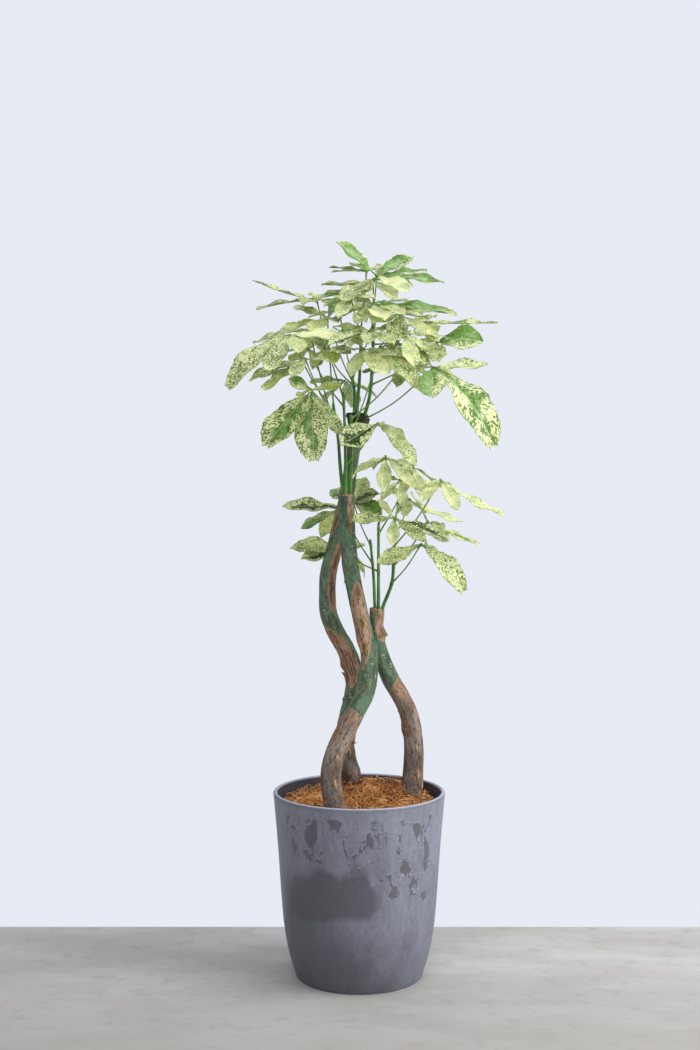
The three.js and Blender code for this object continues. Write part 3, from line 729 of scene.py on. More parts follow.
def smooth_line(points: Line, step: float) -> list[np.ndarray]:
    """Samples a centripetal Catmull-Rom line, as the part's source draws it.

    Args:
        points: [x, y, z, radius] along the line, in millimetres.
        step: about how far apart the samples are, in millimetres.

    Returns:
        The samples, each x, y, z and radius.
    """
    given = [np.array(p, float) for p in points]
    knots = [2 * given[0] - given[1], *given, 2 * given[-1] - given[-2]]
    samples: list[np.ndarray] = []
    for i in range(1, len(knots) - 2):
        p = knots[i - 1:i + 3]
        gaps = [max(np.linalg.norm(b[:3] - a[:3]), 1e-6) ** 0.5 for a, b in zip(p, p[1:])]
        t = np.concatenate([[0.0], np.cumsum(gaps)])
        count = max(2, round(float(np.linalg.norm(p[2][:3] - p[1][:3])) / step))
        for k in range(count):
            u = t[1] + (t[2] - t[1]) * k / count
            a = [((t[j + 1] - u) * p[j] + (u - t[j]) * p[j + 1]) / gaps[j] for j in range(3)]
            b = [((t[j + 2] - u) * a[j] + (u - t[j]) * a[j + 1]) / (t[j + 2] - t[j])
                 for j in range(2)]
            samples.append(((t[2] - u) * b[0] + (u - t[1]) * b[1]) / gaps[1])
    return [*samples, given[-1]]


@dataclass
class Station:
    """One ring's place on a limb, in metres."""

    centre: Vector
    radius: float
    matrix: Matrix


def stations_along(samples: Sequence[np.ndarray]) -> list[Station]:
    """Places a ring square to the line at each sample, without twist.

    Args:
        samples: x, y, z and radius, in millimetres.

    Returns:
        A station for each sample.
    """
    centres = [Vector(s[:3]) * MM for s in samples]
    aside = Vector((1, 0, 0))
    first = centres[1] - centres[0]
    if abs(first.normalized().x) > 0.8:
        aside = Vector((0, 1, 0))
    stations = []
    for i, centre in enumerate(centres):
        tangent = (centres[min(i + 1, len(centres) - 1)] - centres[max(i - 1, 0)]).normalized()
        aside = (aside - tangent * aside.dot(tangent)).normalized()
        turn = Matrix((aside, tangent.cross(aside), tangent)).transposed().to_4x4()
        stations.append(Station(centre, samples[i][3] * MM, Matrix.Translation(centre) @ turn))
    return stations


def ring_edges(ring: Sequence[BMVert]) -> list[BMEdge]:
    """The edges that join a ring's own vertices, in an order that doesn't change."""
    own = set(ring)
    found = dict.fromkeys(e for v in ring for e in v.link_edges
                          if e.verts[0] in own and e.verts[1] in own)
    return sorted(found, key=lambda e: e.verts[0].co.to_tuple())


def faces_round(verts: Iterable[BMVert]) -> list[BMFace]:
    """The faces at some vertices, each once and in an order that doesn't change."""
    return list(dict.fromkeys(f for v in verts for f in v.link_faces))


def add_tube(bm: BMesh, stations: Sequence[Station], sides: int,
             material: int = 0) -> list[list[BMVert]]:
    """Adds a closed round tube: a circle at each station, bridged to the next.

    Args:
        bm: the mesh to add to.
        stations: where the rings go.
        sides: vertices in a ring.
        material: the material's number.

    Returns:
        The vertices of each ring, in order round it.
    """
    before = set(bm.faces)
    rings = [
        bmesh.ops.create_circle(bm, segments=sides, radius=s.radius, matrix=s.matrix)["verts"]
        for s in stations
    ]
    for near, far in zip(rings, rings[1:]):
        bmesh.ops.bridge_loops(bm, edges=ring_edges(near) + ring_edges(far))
    for ring in (rings[0], rings[-1]):
        bmesh.ops.contextual_create(bm, geom=ring_edges(ring))
    fresh = [f for f in bm.faces if f not in before]
    bmesh.ops.recalc_face_normals(bm, faces=fresh)
    for face in fresh:
        face.material_index = material
    return rings


def spin_round(bm: BMesh, verts: Sequence[BMVert], steps: int) -> None:
    """Joins the points of a section and spins it once round the upright axis."""
    edges = [bm.edges.new(pair) for pair in zip(verts, verts[1:])]
    bmesh.ops.spin(bm, geom=[*verts, *edges], cent=(0, 0, 0), axis=(0, 0, 1), angle=2 * math.pi,
                   steps=steps, use_merge=True, use_duplicate=False)
    bmesh.ops.remove_doubles(bm, verts=bm.verts, dist=TOUCH)


def drawn(holder: bpy.types.Object) -> bpy.types.Mesh:
    """The mesh that an object has once its modifiers or its bevel are worked out."""
    graph = bpy.context.evaluated_depsgraph_get()
    return bpy.data.meshes.new_from_object(holder.evaluated_get(graph))


def link_data(name: str, data: bpy.types.ID) -> bpy.types.Object:
    """Puts a mesh, curve, light or camera in the scene as a new object."""
    made = bpy.data.objects.new(name, data)
    bpy.context.scene.collection.objects.link(made)
    return made


def spend(name: str, bm: BMesh) -> bpy.types.Mesh:
    """Turns a mesh that is being built into a finished one, and frees it."""
    mesh = bpy.data.meshes.new(name)
    bm.to_mesh(mesh)
    bm.free()
    return mesh


def make_piece(name: str, bm: BMesh, materials: Iterable[bpy.types.Material], slot: str,
               *nodes: str, sharp: float = 50.0) -> bpy.types.Object:
    """Turns a finished mesh into a piece that rides on the plant's one body.

    Args:
        name: the piece's name.
        bm: its mesh, which is used up.
        materials: its materials, in the order of their numbers.
        slot: not used.
        nodes: the CAD nodes that it stands for.
        sharp: edges above this angle, in degrees, stay crisp.

    Returns:
        The new object.
    """
    return wrap_piece(name, spend(name, bm), materials, slot, *nodes, sharp=sharp)


def wrap_piece(name: str, mesh: bpy.types.Mesh, materials: Iterable[bpy.types.Material], slot: str,
               *nodes: str, sharp: float = 50.0) -> bpy.types.Object:
    """Gives a mesh its materials, smooth shading and body, and hides the CAD nodes. See make_piece.
    """
    numbers = [face.material_index for face in mesh.polygons]
    mesh.materials.clear()
    for material in materials:
        mesh.materials.append(material)
    mesh.polygons.foreach_set("material_index", numbers)
    mesh.shade_smooth()
    mesh.set_sharp_from_angle(angle=math.radians(sharp))
    piece = link_data(name, mesh)
    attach(piece, BODY)
    if nodes:
        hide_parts(*nodes)
    log.info("%s: %d faces", name, len(mesh.polygons))
    return piece


def clamped(value: float) -> float:
    """The value, held between 0 and 1."""
    return min(1.0, max(0.0, value))


def wobble(*where: float) -> float:
    """Smooth seeded noise from -1 to 1 at a point."""
    x, y, z = (*where, 0.0, 0.0)[:3]
    return noise.noise(Vector((x, y, z)))


# Planter, soil and mulch -----------------------------------------------------------------------


@dataclass
class Planter:
    """Tapered resin pot with a rounded lip and drain grooves under its base."""

    height: float = 323
    wall: float = 8
    floor: float = 12
    lip_radius: float = 150
    outside: Line = ((110, 0), (121.5, 36), (131.5, 90), (142.3, 232), (149.5, 316))
    drains: int = 4
    drain_turn: float = -84
    drain_width: float = 14
    drain_depth: float = 2.5
    drain_from: float = 48
    hole_radius: float = 6
    hole_at: float = 60
    steps: int = 128

    def inside(self, z: float) -> float:
        """The inner radius at height z, in millimetres, as the part's source works it out."""
        for (r0, z0), (r1, z1) in zip(self.outside, self.outside[1:]):
            if z <= z1:
                break
        return r0 + (r1 - r0) * (z - z0) / (z1 - z0) - self.wall

    def profile(self) -> list[tuple[float, float]]:
        """Radius and height round the wall's section, from the axis outside to the axis inside."""
        flat = [(r, 0.0, z, 0.0) for r, z in self.outside]
        outer = [(float(s[0]), float(s[2])) for s in smooth_line(flat, 12)]
        lip = [(self.lip_radius + r, self.height + z) for r, z in (
            (-0.05, -5.2), (0, -4), (-0.25, -2.4), (-1.1, -1.0), (-2.2, -0.25), (-3.4, 0),
            (-4.8, -0.1), (-6, -0.6), (-6.9, -1.6), (-7.3, -3.0))]
        inner = [(r - self.wall, z) for r, z in reversed(outer) if z > self.floor + 16]
        base = self.inside(self.floor)
        curve = [(base - 5 + 5 * math.sin(a), self.floor + 5 - 5 * math.cos(a))
                 for a in (1.4, 0.9, 0.45, 0.0)]
        return [(0, 0), *outer, *lip, *inner, *curve, (0, self.floor)]

    def shell(self) -> bpy.types.Object:
        """Spins the section into the pot, before its drains are cut."""
        bm = bmesh.new()
        section = [bm.verts.new(Vector((r, 0, z)) * MM) for r, z in self.profile()]
        spin_round(bm, section, self.steps)
        bmesh.ops.recalc_face_normals(bm, faces=bm.faces)
        foot = [e for e in bm.edges
                if all(v.co.z < TOUCH and v.co.xy.length > 0.1 for v in e.verts)]
        bmesh.ops.bevel(bm, geom=foot, offset=1.2 * MM, segments=3, profile=0.5,
                        affect="EDGES", material=-1)
        return link_data("planter_shell", spend("planter_shell", bm))

    def cutter(self) -> bpy.types.Object:
        """The grooves and holes that drain the pot, as one solid of crossing blocks and pins."""
        bm = bmesh.new()
        length = self.lip_radius - self.drain_from
        for i in range(self.drains):
            turn = Matrix.Rotation(math.radians(self.drain_turn + 360 * i / self.drains), 4, "Z")
            size = Matrix.Diagonal((length * MM, self.drain_width * MM,
                                    2 * self.drain_depth * MM, 1))
            place = turn @ Matrix.Translation(((self.drain_from + length / 2) * MM, 0, 0))
            bmesh.ops.create_cube(bm, size=1, matrix=place @ size)
            bmesh.ops.create_cone(
                bm, cap_ends=True, segments=24, radius1=self.hole_radius * MM,
                radius2=self.hole_radius * MM, depth=3 * self.floor * MM,
                matrix=turn @ Matrix.Translation((self.hole_at * MM, 0, 0)))
        return link_data("drain_cutter", spend("drain_cutter", bm))

    def build(self) -> bpy.types.Object:
        """Makes the planter, its inside in a darker finish that paints the shade inside the pot."""
        shell, cutter = self.shell(), self.cutter()
        cut = shell.modifiers.new("drains", "BOOLEAN")
        cut.operation, cut.object, cut.solver, cut.use_self = "DIFFERENCE", cutter, "EXACT", True
        mesh = drawn(shell)
        for spent in (shell, cutter):
            bpy.data.objects.remove(spent)
        inner = self.lip_radius - self.wall + 1.5
        for face in mesh.polygons:
            middle = face.center
            inward = face.normal.x * middle.x + face.normal.y * middle.y < 0
            deep = self.floor * MM * 0.9 < middle.z < (self.height - 2.5) * MM
            face.material_index = int(deep and (inward or middle.xy.length < 0.1)
                                      and middle.xy.length < inner * MM)
        outside = ResinFinish("planter_resin").build()
        # The inside's darker copy of the resin finish is painted shade inside the pot.
        shaded_inside = ResinFinish("planter_inside_shaded", slate=paint(48, 47, 52), bloom_and_painted_light=paint(82, 80, 88),
                             chalk_and_highlight=paint(104, 100, 100), haze=0.45, rough=0.75,
                             gloss=0.15).build()
        mesh.name = "planter"
        return wrap_piece("planter", mesh, (outside, shaded_inside), "planter", "pot", sharp=38)


class Strand(Enum):
    """The three shades of coir: how many strands, how thick in millimetres, and their colours."""

    DARK = (1000, 0.95, paint(62, 34, 15), paint(124, 74, 34))
    MID = (1700, 0.9, paint(150, 92, 44), paint(212, 144, 78))
    PALE = (1100, 0.8, paint(206, 144, 80), paint(250, 210, 152))


@dataclass
class CoirMulch:
    """A heap of tangled coconut fibre over the soil."""

    planter: Planter
    soil_top: float = 285.3
    edge: float = 296
    crown: float = 324
    heap: tuple[float, float] = (25, 35)
    spread: float = 90
    clearance: float = 0.4
    rings: int = 44
    steps: int = 144
    seed: int = 23
    highest: float = 334  # no strand stands above this

    def top(self, x: float, y: float) -> float:
        """The height of the heap's surface at x, y, in millimetres."""
        part = min(1.0, math.hypot(x, y) / self.radius)
        away = math.hypot(x - self.heap[0], y - self.heap[1]) / self.spread
        rough = 1.9 * wobble(x * 0.035, y * 0.035, 4.1) + 1.1 * wobble(x * 0.09, y * 0.09, 9.3)
        return self.edge + (1 - part ** 8) * ((self.crown - self.edge) * math.exp(-away * away)
                                              + 2.2 * rough)

    @property
    def radius(self) -> float:
        """The heap's radius where it meets the pot's wall, in millimetres."""
        return self.planter.inside(self.edge) - self.clearance

    def bed(self) -> bpy.types.Object:
        """The matted body of the heap, under the loose strands."""
        bm = bmesh.new()
        spoke = [bm.verts.new((self.radius * MM * i / self.rings, 0, 0))
                 for i in range(self.rings + 1)]
        spin_round(bm, spoke, self.steps)
        for v in bm.verts:
            x, y = v.co.x / MM, v.co.y / MM
            tuft = 1.0 * wobble(x * 0.3, y * 0.3, 2.0) + 0.5 * wobble(x * 0.7, y * 0.7, 5.0)
            v.co.z = (self.top(x, y) + tuft - 1.2) * MM
        rim = [e for e in bm.edges if e.is_boundary]
        skirt = bmesh.ops.extrude_edge_only(bm, edges=rim)["geom"]
        lower = self.planter.inside(self.soil_top) - self.clearance
        for v in (g for g in skirt if isinstance(g, BMVert)):
            v.co.xy *= lower / self.radius
            v.co.z = self.soil_top * MM
        bmesh.ops.contextual_create(bm, geom=[g for g in skirt if isinstance(g, BMEdge)])
        bmesh.ops.recalc_face_normals(bm, faces=bm.faces)
        matted = CoirFinish("coir_matted", paint(40, 22, 11), paint(104, 64, 32)).build()
        return make_piece("coir_bed", bm, [matted], "coir", "coir_mulch")

    def strand(self, rng: random.Random) -> list[Vector]:
        """The path of one loose strand, curled over the heap, in metres."""
        reach = self.radius - 4
        start = Vector((rng.uniform(-1, 1), rng.uniform(-1, 1)))
        while start.length > 1:
            start = Vector((rng.uniform(-1, 1), rng.uniform(-1, 1)))
        x, y = start * reach
        heading = rng.uniform(0, 2 * math.pi)
        long = rng.random() < 0.12
        length = rng.uniform(46, 84) if long else rng.uniform(14, 46)
        count = 12 if long else 7
        bend = rng.gauss(0, 2.8) / count
        lift = rng.uniform(0.5, 5) if rng.random() < 0.7 else rng.uniform(4, 13)
        tilt = rng.uniform(-0.6, 1.0) * lift
        path = []
        for i in range(count + 1):
            hump = math.sin(math.pi * i / count)
            z = self.top(x, y) + lift * hump + tilt * i / count + rng.uniform(-0.5, 0.5) - 0.4
            path.append(Vector((x, y, min(z, self.highest))) * MM)
            heading += bend + rng.gauss(0, 0.28)
            x += length / count * math.cos(heading)
            y += length / count * math.sin(heading)
            room = math.hypot(x, y)
            if room > reach:
                x, y = x * reach / room, y * reach / room
        return path

    def strands(self, shade: Strand, rng: random.Random) -> bpy.types.Object:
        """Loose strands of one shade, drawn as curves and made a mesh."""
        count, thickness, dark, light = shade.value
        curve = bpy.data.curves.new("coir", "CURVE")
        curve.dimensions = "3D"
        curve.bevel_depth = thickness / 2 * MM
        curve.bevel_resolution = 0
        curve.resolution_u = 1
        curve.use_fill_caps = True
        for _ in range(count):
            path = self.strand(rng)
            spline = curve.splines.new("POLY")
            spline.points.add(len(path) - 1)
            for i, (point, co) in enumerate(zip(spline.points, path)):
                point.co = (*co, 1)
                point.radius = 1.15 - 0.75 * i / len(path)
        holder = link_data("coir", curve)
        mesh = drawn(holder)
        bpy.data.objects.remove(holder)
        name = f"coir_strands_{shade.name.lower()}"
        finish = CoirFinish(name, dark, light).build()
        return wrap_piece(name, mesh, [finish], "coir", sharp=80)

    def build(self) -> None:
        """Makes the heap and its strands."""
        rng = random.Random(self.seed)
        self.bed()
        for shade in Strand:
            self.strands(shade, rng)


# Trunks and shoots -----------------------------------------------------------------------------


@dataclass(frozen=True)
class Peel:
    """A patch where the green bark has peeled: a slanted oval on the trunk's surface."""

    height: float
    bearing: float
    tall: float
    wide: float
    lean: float = 0.0  # degrees of bearing that the patch turns in each millimetre of height

    def amount(self, z: float, bearing: float) -> float:
        """How peeled the bark is at a height and bearing: 1 inside, falling to 0 outside."""
        middle = self.bearing + self.lean * (z - self.height)
        aside = (bearing - middle + 180) % 360 - 180
        away = math.hypot((z - self.height) / self.tall, aside / self.wide)
        return clamped(1.5 - away)


@dataclass(frozen=True)
class Flake:
    """A curl of bark that has come loose, rooted on the trunk at a height and bearing."""

    height: float
    bearing: float
    length: float  # below 0 where it hangs down
    width: float
    lift: float

    def reach(self, along: float, aside: float) -> float:
        """How far off the bark it stands, at along from 0 to 1 and aside from -1 to 1."""
        return self.lift * along ** 1.6 - 1.6 * (1 - along) - 0.1 * self.width * aside * aside


@dataclass
class Trunk:
    """One trunk: a bent limb of bark with knots, peeled patches and a sawn top."""

    name: str
    line: Line
    knots: Line
    peels: Sequence[Peel]
    old_below: float
    old_slant: float = 0.0  # how much higher the old bark reaches on the right
    callus: float = 0.0  # how knobbly and dark the top has grown
    flakes: Sequence[Flake] = ()
    sides: int = 44
    step: float = 4.5
    lobes: int = 3
    lobe_height: float = 0.035
    twist: float = 0.013
    flake_thickness: float = 0.9
    # Rings of the sawn top, from its rim of bark inward: width and rise.
    cut_rings: Line = ((1.4, 0.5), (1.2, -1.1), (3.0, 0.5), (3.5, -0.7), (2.5, 0.4))

    def relief(self, z: float, bearing: float, radius: float) -> float:
        """What the bark adds to the radius: soft lobes, knots, wrinkles and ridges."""
        lift = radius * self.lobe_height * math.sin(self.lobes * bearing + self.twist * z)
        for height, degrees, rise, spread in self.knots:
            around = radius * (1 - math.cos(bearing - math.radians(degrees)))
            away = ((z - height) / spread) ** 2 + (around / (0.6 * spread)) ** 2
            lift += rise * math.exp(-away)
        round_x, round_y = radius * math.cos(bearing), radius * math.sin(bearing)
        lift += 0.8 * wobble(round_x * 0.16, round_y * 0.16, z * 0.035)
        lift += 0.5 * wobble(round_x * 0.5, round_y * 0.5, z * 0.12 + 7)
        above = clamped((z - self.line[-1][2] + 26) / 10)
        gnarl = 5.5 * wobble(round_x * 0.13, round_y * 0.13, z * 0.12) - 1.5
        gnarl += 2.4 * wobble(round_x * 0.34, round_y * 0.34, z * 0.3)
        lift += self.callus * above * gnarl
        return lift

    def peeled(self, z: float, bearing: float) -> float:
        """How peeled the bark is: old bark below, patches above."""
        bound = self.old_below + self.old_slant * math.cos(bearing)
        old = clamped(0.5 + (bound - z) / 9)
        return max([old] + [peel.amount(z, math.degrees(bearing)) for peel in self.peels])

    def build(self, bark: bpy.types.Material, sawn: bpy.types.Material) -> bpy.types.Object:
        """Makes the trunk.

        Args:
            bark: the bark's finish.
            sawn: the cut end's finish.

        Returns:
            The trunk's piece.
        """
        bm = bmesh.new()
        shade = bm.verts.layers.float_color.new("bark")
        grain = bm.verts.layers.float_vector.new("grain")
        stations = stations_along(smooth_line(self.line, self.step))
        rings = add_tube(bm, stations, self.sides)
        along = 0.3 * len(self.name)
        for i, (station, ring) in enumerate(zip(stations, rings)):
            z, radius = station.centre.z / MM, station.radius / MM
            along += (station.centre - stations[max(i - 1, 0)].centre).length
            inward = station.matrix.inverted()
            for v in ring:
                v[grain] = Vector((*(inward @ v.co).xy, along))
                out = (v.co - station.centre).normalized()
                bearing = math.atan2(out.y, out.x)
                v.co = station.centre + out * (radius + self.relief(z, bearing, radius)) * MM
                age = clamped((self.old_below + 20 - z) / 60)
                knob = self.callus * clamped((z - self.line[-1][2] + 26) / 8)
                v[shade] = (self.peeled(z, bearing), age, knob, 1)
        self.cut_top(bm, rings[-1])
        for flake in self.flakes:
            self.add_flake(bm, stations, flake)
        return make_piece(f"bark_{self.name}", bm, (bark, sawn), "bark", f"trunk_{self.name}",
                          sharp=60)

    def add_flake(self, bm: BMesh, stations: Sequence[Station], flake: Flake) -> None:
        """Adds a loose curl of bark.

        Args:
            bm: the trunk's mesh.
            stations: the trunk's rings.
            flake: the curl.
        """
        shade, grain = bm.verts.layers.float_color["bark"], bm.verts.layers.float_vector["grain"]
        grid = bmesh.ops.create_grid(bm, x_segments=7, y_segments=4, size=1)["verts"]
        for v in grid:
            along, aside = (v.co.x + 1) / 2, v.co.y
            z = flake.height + flake.length * along
            near = min(stations, key=lambda s: abs(s.centre.z / MM - z))
            radius = near.radius / MM
            narrow = 1 - 0.45 * along + 0.2 * wobble(9 * along, aside, z)
            bearing = math.radians(flake.bearing) + 0.5 * aside * narrow * flake.width / radius
            out = radius + self.relief(z, bearing, radius) + flake.reach(along, aside)
            v.co = Vector((near.centre.x + out * MM * math.cos(bearing),
                           near.centre.y + out * MM * math.sin(bearing), z * MM))
            v[grain] = Vector((aside * flake.width * MM, out * MM, z * MM))
            v[shade] = (1.0, 0.25, 0.0, 1.0)
        bmesh.ops.solidify(bm, geom=faces_round(grid), thickness=self.flake_thickness * MM)

    def cut_top(self, bm: BMesh, ring: Sequence[BMVert]) -> None:
        """Cracks and dishes the sawn end, inside a rim of bark."""
        own = set(ring)
        top = next(f for f in bm.faces if len(f.verts) == len(ring) and set(f.verts) == own)
        for number, (inset, depth) in enumerate(self.cut_rings):
            rim = bmesh.ops.inset_individual(bm, faces=[top], thickness=inset * MM,
                                             depth=depth * MM)
            for face in rim["faces"]:
                face.material_index = int(number > 0)
        top.material_index = 1
        bmesh.ops.poke(bm, faces=[top])


@dataclass
class Shoot:
    """A green stem from a trunk's top, thicker at its joints, with a bud at its end."""

    name: str
    line: Line
    joints: Sequence[float]
    sides: int = 12

    def build(self, green: bpy.types.Material) -> bpy.types.Object:
        """Makes the shoot from its green finish."""
        samples = smooth_line(self.line, 3)
        for s in samples:
            swell = sum(math.exp(-((s[2] - z) / 3.2) ** 2) for z in self.joints)
            s[3] += 0.5 * min(1.0, swell) + 0.12 * wobble(s[2] * 0.2, s[0])
        tip = samples[-1]
        heading = tip[:3] - samples[-3][:3]
        heading /= np.linalg.norm(heading)
        for ahead, share in ((1.6, 0.95), (3.2, 1.05), (5.2, 0.8), (6.8, 0.42), (7.6, 0.12)):
            samples.append(np.array([*(tip[:3] + heading * ahead), tip[3] * share]))
        bm = bmesh.new()
        add_tube(bm, stations_along(samples), self.sides)
        return make_piece(f"stem_{self.name}", bm, [green], "shoot", f"shoot_{self.name}")


# Leaves ----------------------------------------------------------------------------------------


class Habit(Enum):
    """Leaflet colouring: solid green zone, speckle density, turn to olive, partly painted shade."""

    CREAM = (0.0, 0.35, 0.1)
    SPECKLED = (0.0, 0.95, 0.25)
    SPLASHED = (0.45, 0.95, 0.2)
    GREEN = (1.2, 0.9, 0.2)
    FULL = (2.6, 0.9, 0.2)
    BOLD = (0.5, 1.3, 0.0)
    # Olive leaflets are turned olive-yellow as painted shade, the look of leaves in the crown's
    # shade.
    OLIVE = (0.0, 0.7, 0.9)
    YOLK = (0.0, 0.58, 0.2)


# A capital letter puts the green zone on the blade's other half.
HABIT_LETTERS = {"c": Habit.CREAM, "s": Habit.SPECKLED, "p": Habit.SPLASHED, "g": Habit.GREEN,
                 "f": Habit.FULL, "b": Habit.BOLD, "o": Habit.OLIVE, "y": Habit.YOLK}


@dataclass
class Leaf:
    """A palmate leaf: a stalk, a small hub and its leaflets."""

    name: str
    on: str
    z: float
    hub: Sequence[float]
    tilt: float
    leaflets: Sequence[Sequence[float]]
    habits: str
    lean: float = 0.0
    thickness: float = 0.6
    width_ratio: float = 0.35
    arch: float = 0.02
    keel: float = 0.22
    wave: float = 0.022
    waves: float = 2.4
    rows: int = 30
    columns: int = 8

    def face(self) -> Vector:
        """The way that the leaf's upper face looks."""
        tilt, lean = math.radians(self.tilt), math.radians(self.lean)
        return Vector((math.sin(lean), -math.sin(tilt) * math.cos(lean),
                       math.cos(tilt) * math.cos(lean)))

    def stalk(self, bm: BMesh, foot: Vector) -> None:
        """Adds the stalk from its foot on the shoot to just past the hub.

        Args:
            bm: the leaf's mesh.
            foot: the foot's place, in millimetres.
        """
        end = Vector(self.hub)
        middle = foot.lerp(end, 0.5)
        span = (end - foot).length
        middle.z -= 0.06 * span
        past = end + (end - middle).normalized() * 2.2
        samples = smooth_line([[*foot, 1.7], [*middle, 1.2], [*past, 2.6]], span / 18)
        for s in samples:
            near = (Vector(s[:3]) - foot).length
            s[3] += 0.55 * math.exp(-(near / 5.5) ** 2)
            far = (Vector(s[:3]) - past).length
            s[3] = min(s[3], 1.25 + 1.5 * math.exp(-(far / 6) ** 2)) if near > span / 2 else s[3]
        add_tube(bm, stations_along(samples), 8, material=2)

    def blade(self, bm: BMesh, tip: Sequence[float], index: int) -> None:
        """Adds one leaflet: a waved blade over its midrib.

        Args:
            bm: the leaf's mesh.
            tip: offset from the hub to the leaflet's tip, then its width factor and arch.
            index: the leaflet's number in the leaf.
        """
        rng = random.Random(f"{self.name}{index}")
        hub = Vector(self.hub)
        offset = Vector(tip[:3])
        length = offset.length
        along = offset.normalized()
        face = self.face()
        up = (face - along * face.dot(along)).normalized()
        across = along.cross(up)
        half = 0.5 * length * self.width_ratio * (tip[3] if len(tip) > 3 else 1)
        phase = 1.7 * index + 0.05 * self.hub[0]
        arch = tip[4] if len(tip) > 4 else self.arch
        own = rng.uniform(0, 50)
        # Long leaflets that hang down often end bluntly, with a notch.
        hangs = length > 85 and tip[2] < -0.35 * length
        blunt = rng.choice((0.1, 0.24, 0.34)) if hangs else rng.choice((0.0, 0.0, 0.08))
        notch = rng.choice((0.02, 0.045)) if hangs else 0.0
        tip_power = rng.choice((0.55, 0.62)) if hangs else rng.choice((0.75, 0.9, 1.1))

        def spot(t: float, edge: float) -> Vector:
            """The blade's middle surface at t along it and edge across it."""
            swell = max(0.0, math.sin(math.pi * t ** 1.5)) ** (0.8 if t < 0.63 else tip_power)
            reach = half * max(swell, blunt * max(0.0, (t - 0.6) / 0.4) ** 2)
            scallop = 0.045 * math.sin(22 * math.pi * t + own) * (1 + wobble(own + 5 * t, edge))
            reach *= 1 + scallop + 0.12 * wobble(own + 7 * t, 3 * edge)
            swing = phase + 1.1 * edge + self.waves * 2 * math.pi * t
            ripple = self.wave * length * math.sin(swing)
            frill = 0.009 * length * wobble(own + 11 * t, 2.2 * edge) * edge * edge
            rise = arch * length * math.sin(math.pi * t)
            rise += abs(edge) * (self.keel * reach + ripple) + frill
            back = notch * length * (1 - abs(edge)) * max(0.0, (t - 0.86) / 0.14)
            return hub + along * (length * t - back) + across * edge * reach + up * rise

        grid = bmesh.ops.create_grid(bm, x_segments=self.rows, y_segments=self.columns, size=1)
        surface, habit = bm.loops.layers.uv["blade"], bm.verts.layers.float_color["habit"]
        letter = self.habits[index]
        zone, density, tone = HABIT_LETTERS[letter.lower()].value
        side = 1 if letter.isupper() else -1
        shade = (0.5 + 0.5 * side * zone * rng.uniform(0.9, 1.1), density + rng.uniform(-0.1, 0.1),
                 max(0.0, tone + rng.uniform(-0.12, 0.15)), rng.random())
        verts = grid["verts"]
        faces = faces_round(verts)
        where: dict[BMVert, tuple[float, float]] = {}
        for v in verts:
            t = 0.5 - 0.5 * math.cos(math.pi * (0.08 + 0.92 * (v.co.x + 1) / 2))
            low = 0.5 - 0.5 * math.cos(math.pi * 0.08)
            where[v] = (clamped((t - low) / (1 - low)), v.co.y)
            v[habit] = shade
        for face_ in faces:
            for loop in face_.loops:
                t, edge = where[loop.vert]
                loop[surface].uv = (t, (edge + 1) / 2)
        for v, (t, edge) in where.items():
            v.co = (spot(t, edge) + up * self.thickness / 2) * MM
        ends = [v for v, (t, _) in where.items() if t < 1e-6 or t > 1 - 1e-6]
        bmesh.ops.remove_doubles(bm, verts=ends, dist=1e-5)
        faces = [f for f in faces if f.is_valid]
        bm.normal_update()
        if sum(f.normal.dot(up) * f.calc_area() for f in faces) < 0:
            bmesh.ops.reverse_faces(bm, faces=faces)
        known = set(bm.faces)
        bmesh.ops.solidify(bm, geom=faces, thickness=self.thickness * MM)
        for f in bm.faces:
            if f not in known:
                f.material_index = 1
        rib = [np.array([*(spot(t, 0) - up * (self.thickness / 2 + 0.1)), 0.85 - 0.6 * t])
               for t in (0.01 + 0.095 * k for k in range(11))]
        rib[0][3] = 1.15
        add_tube(bm, stations_along(rib), 6, material=2)

    def build(self, foot: Vector, materials: Sequence[bpy.types.Material]) -> bpy.types.Object:
        """Makes the leaf.

        Args:
            foot: where its stalk starts, in millimetres.
            materials: the blade's upper and under sides and the stalk.

        Returns:
            The leaf's piece.
        """
        bm = bmesh.new()
        bm.loops.layers.uv.new("blade")
        bm.verts.layers.float_color.new("habit")
        self.stalk(bm, foot)
        for index, tip in enumerate(self.leaflets):
            self.blade(bm, tip, index)
        return make_piece(f"foliage_{self.name}", bm, materials, "leaf", f"leaf_{self.name}",
                          sharp=65)


# Tables ------------------------------------------------------------------------------------------

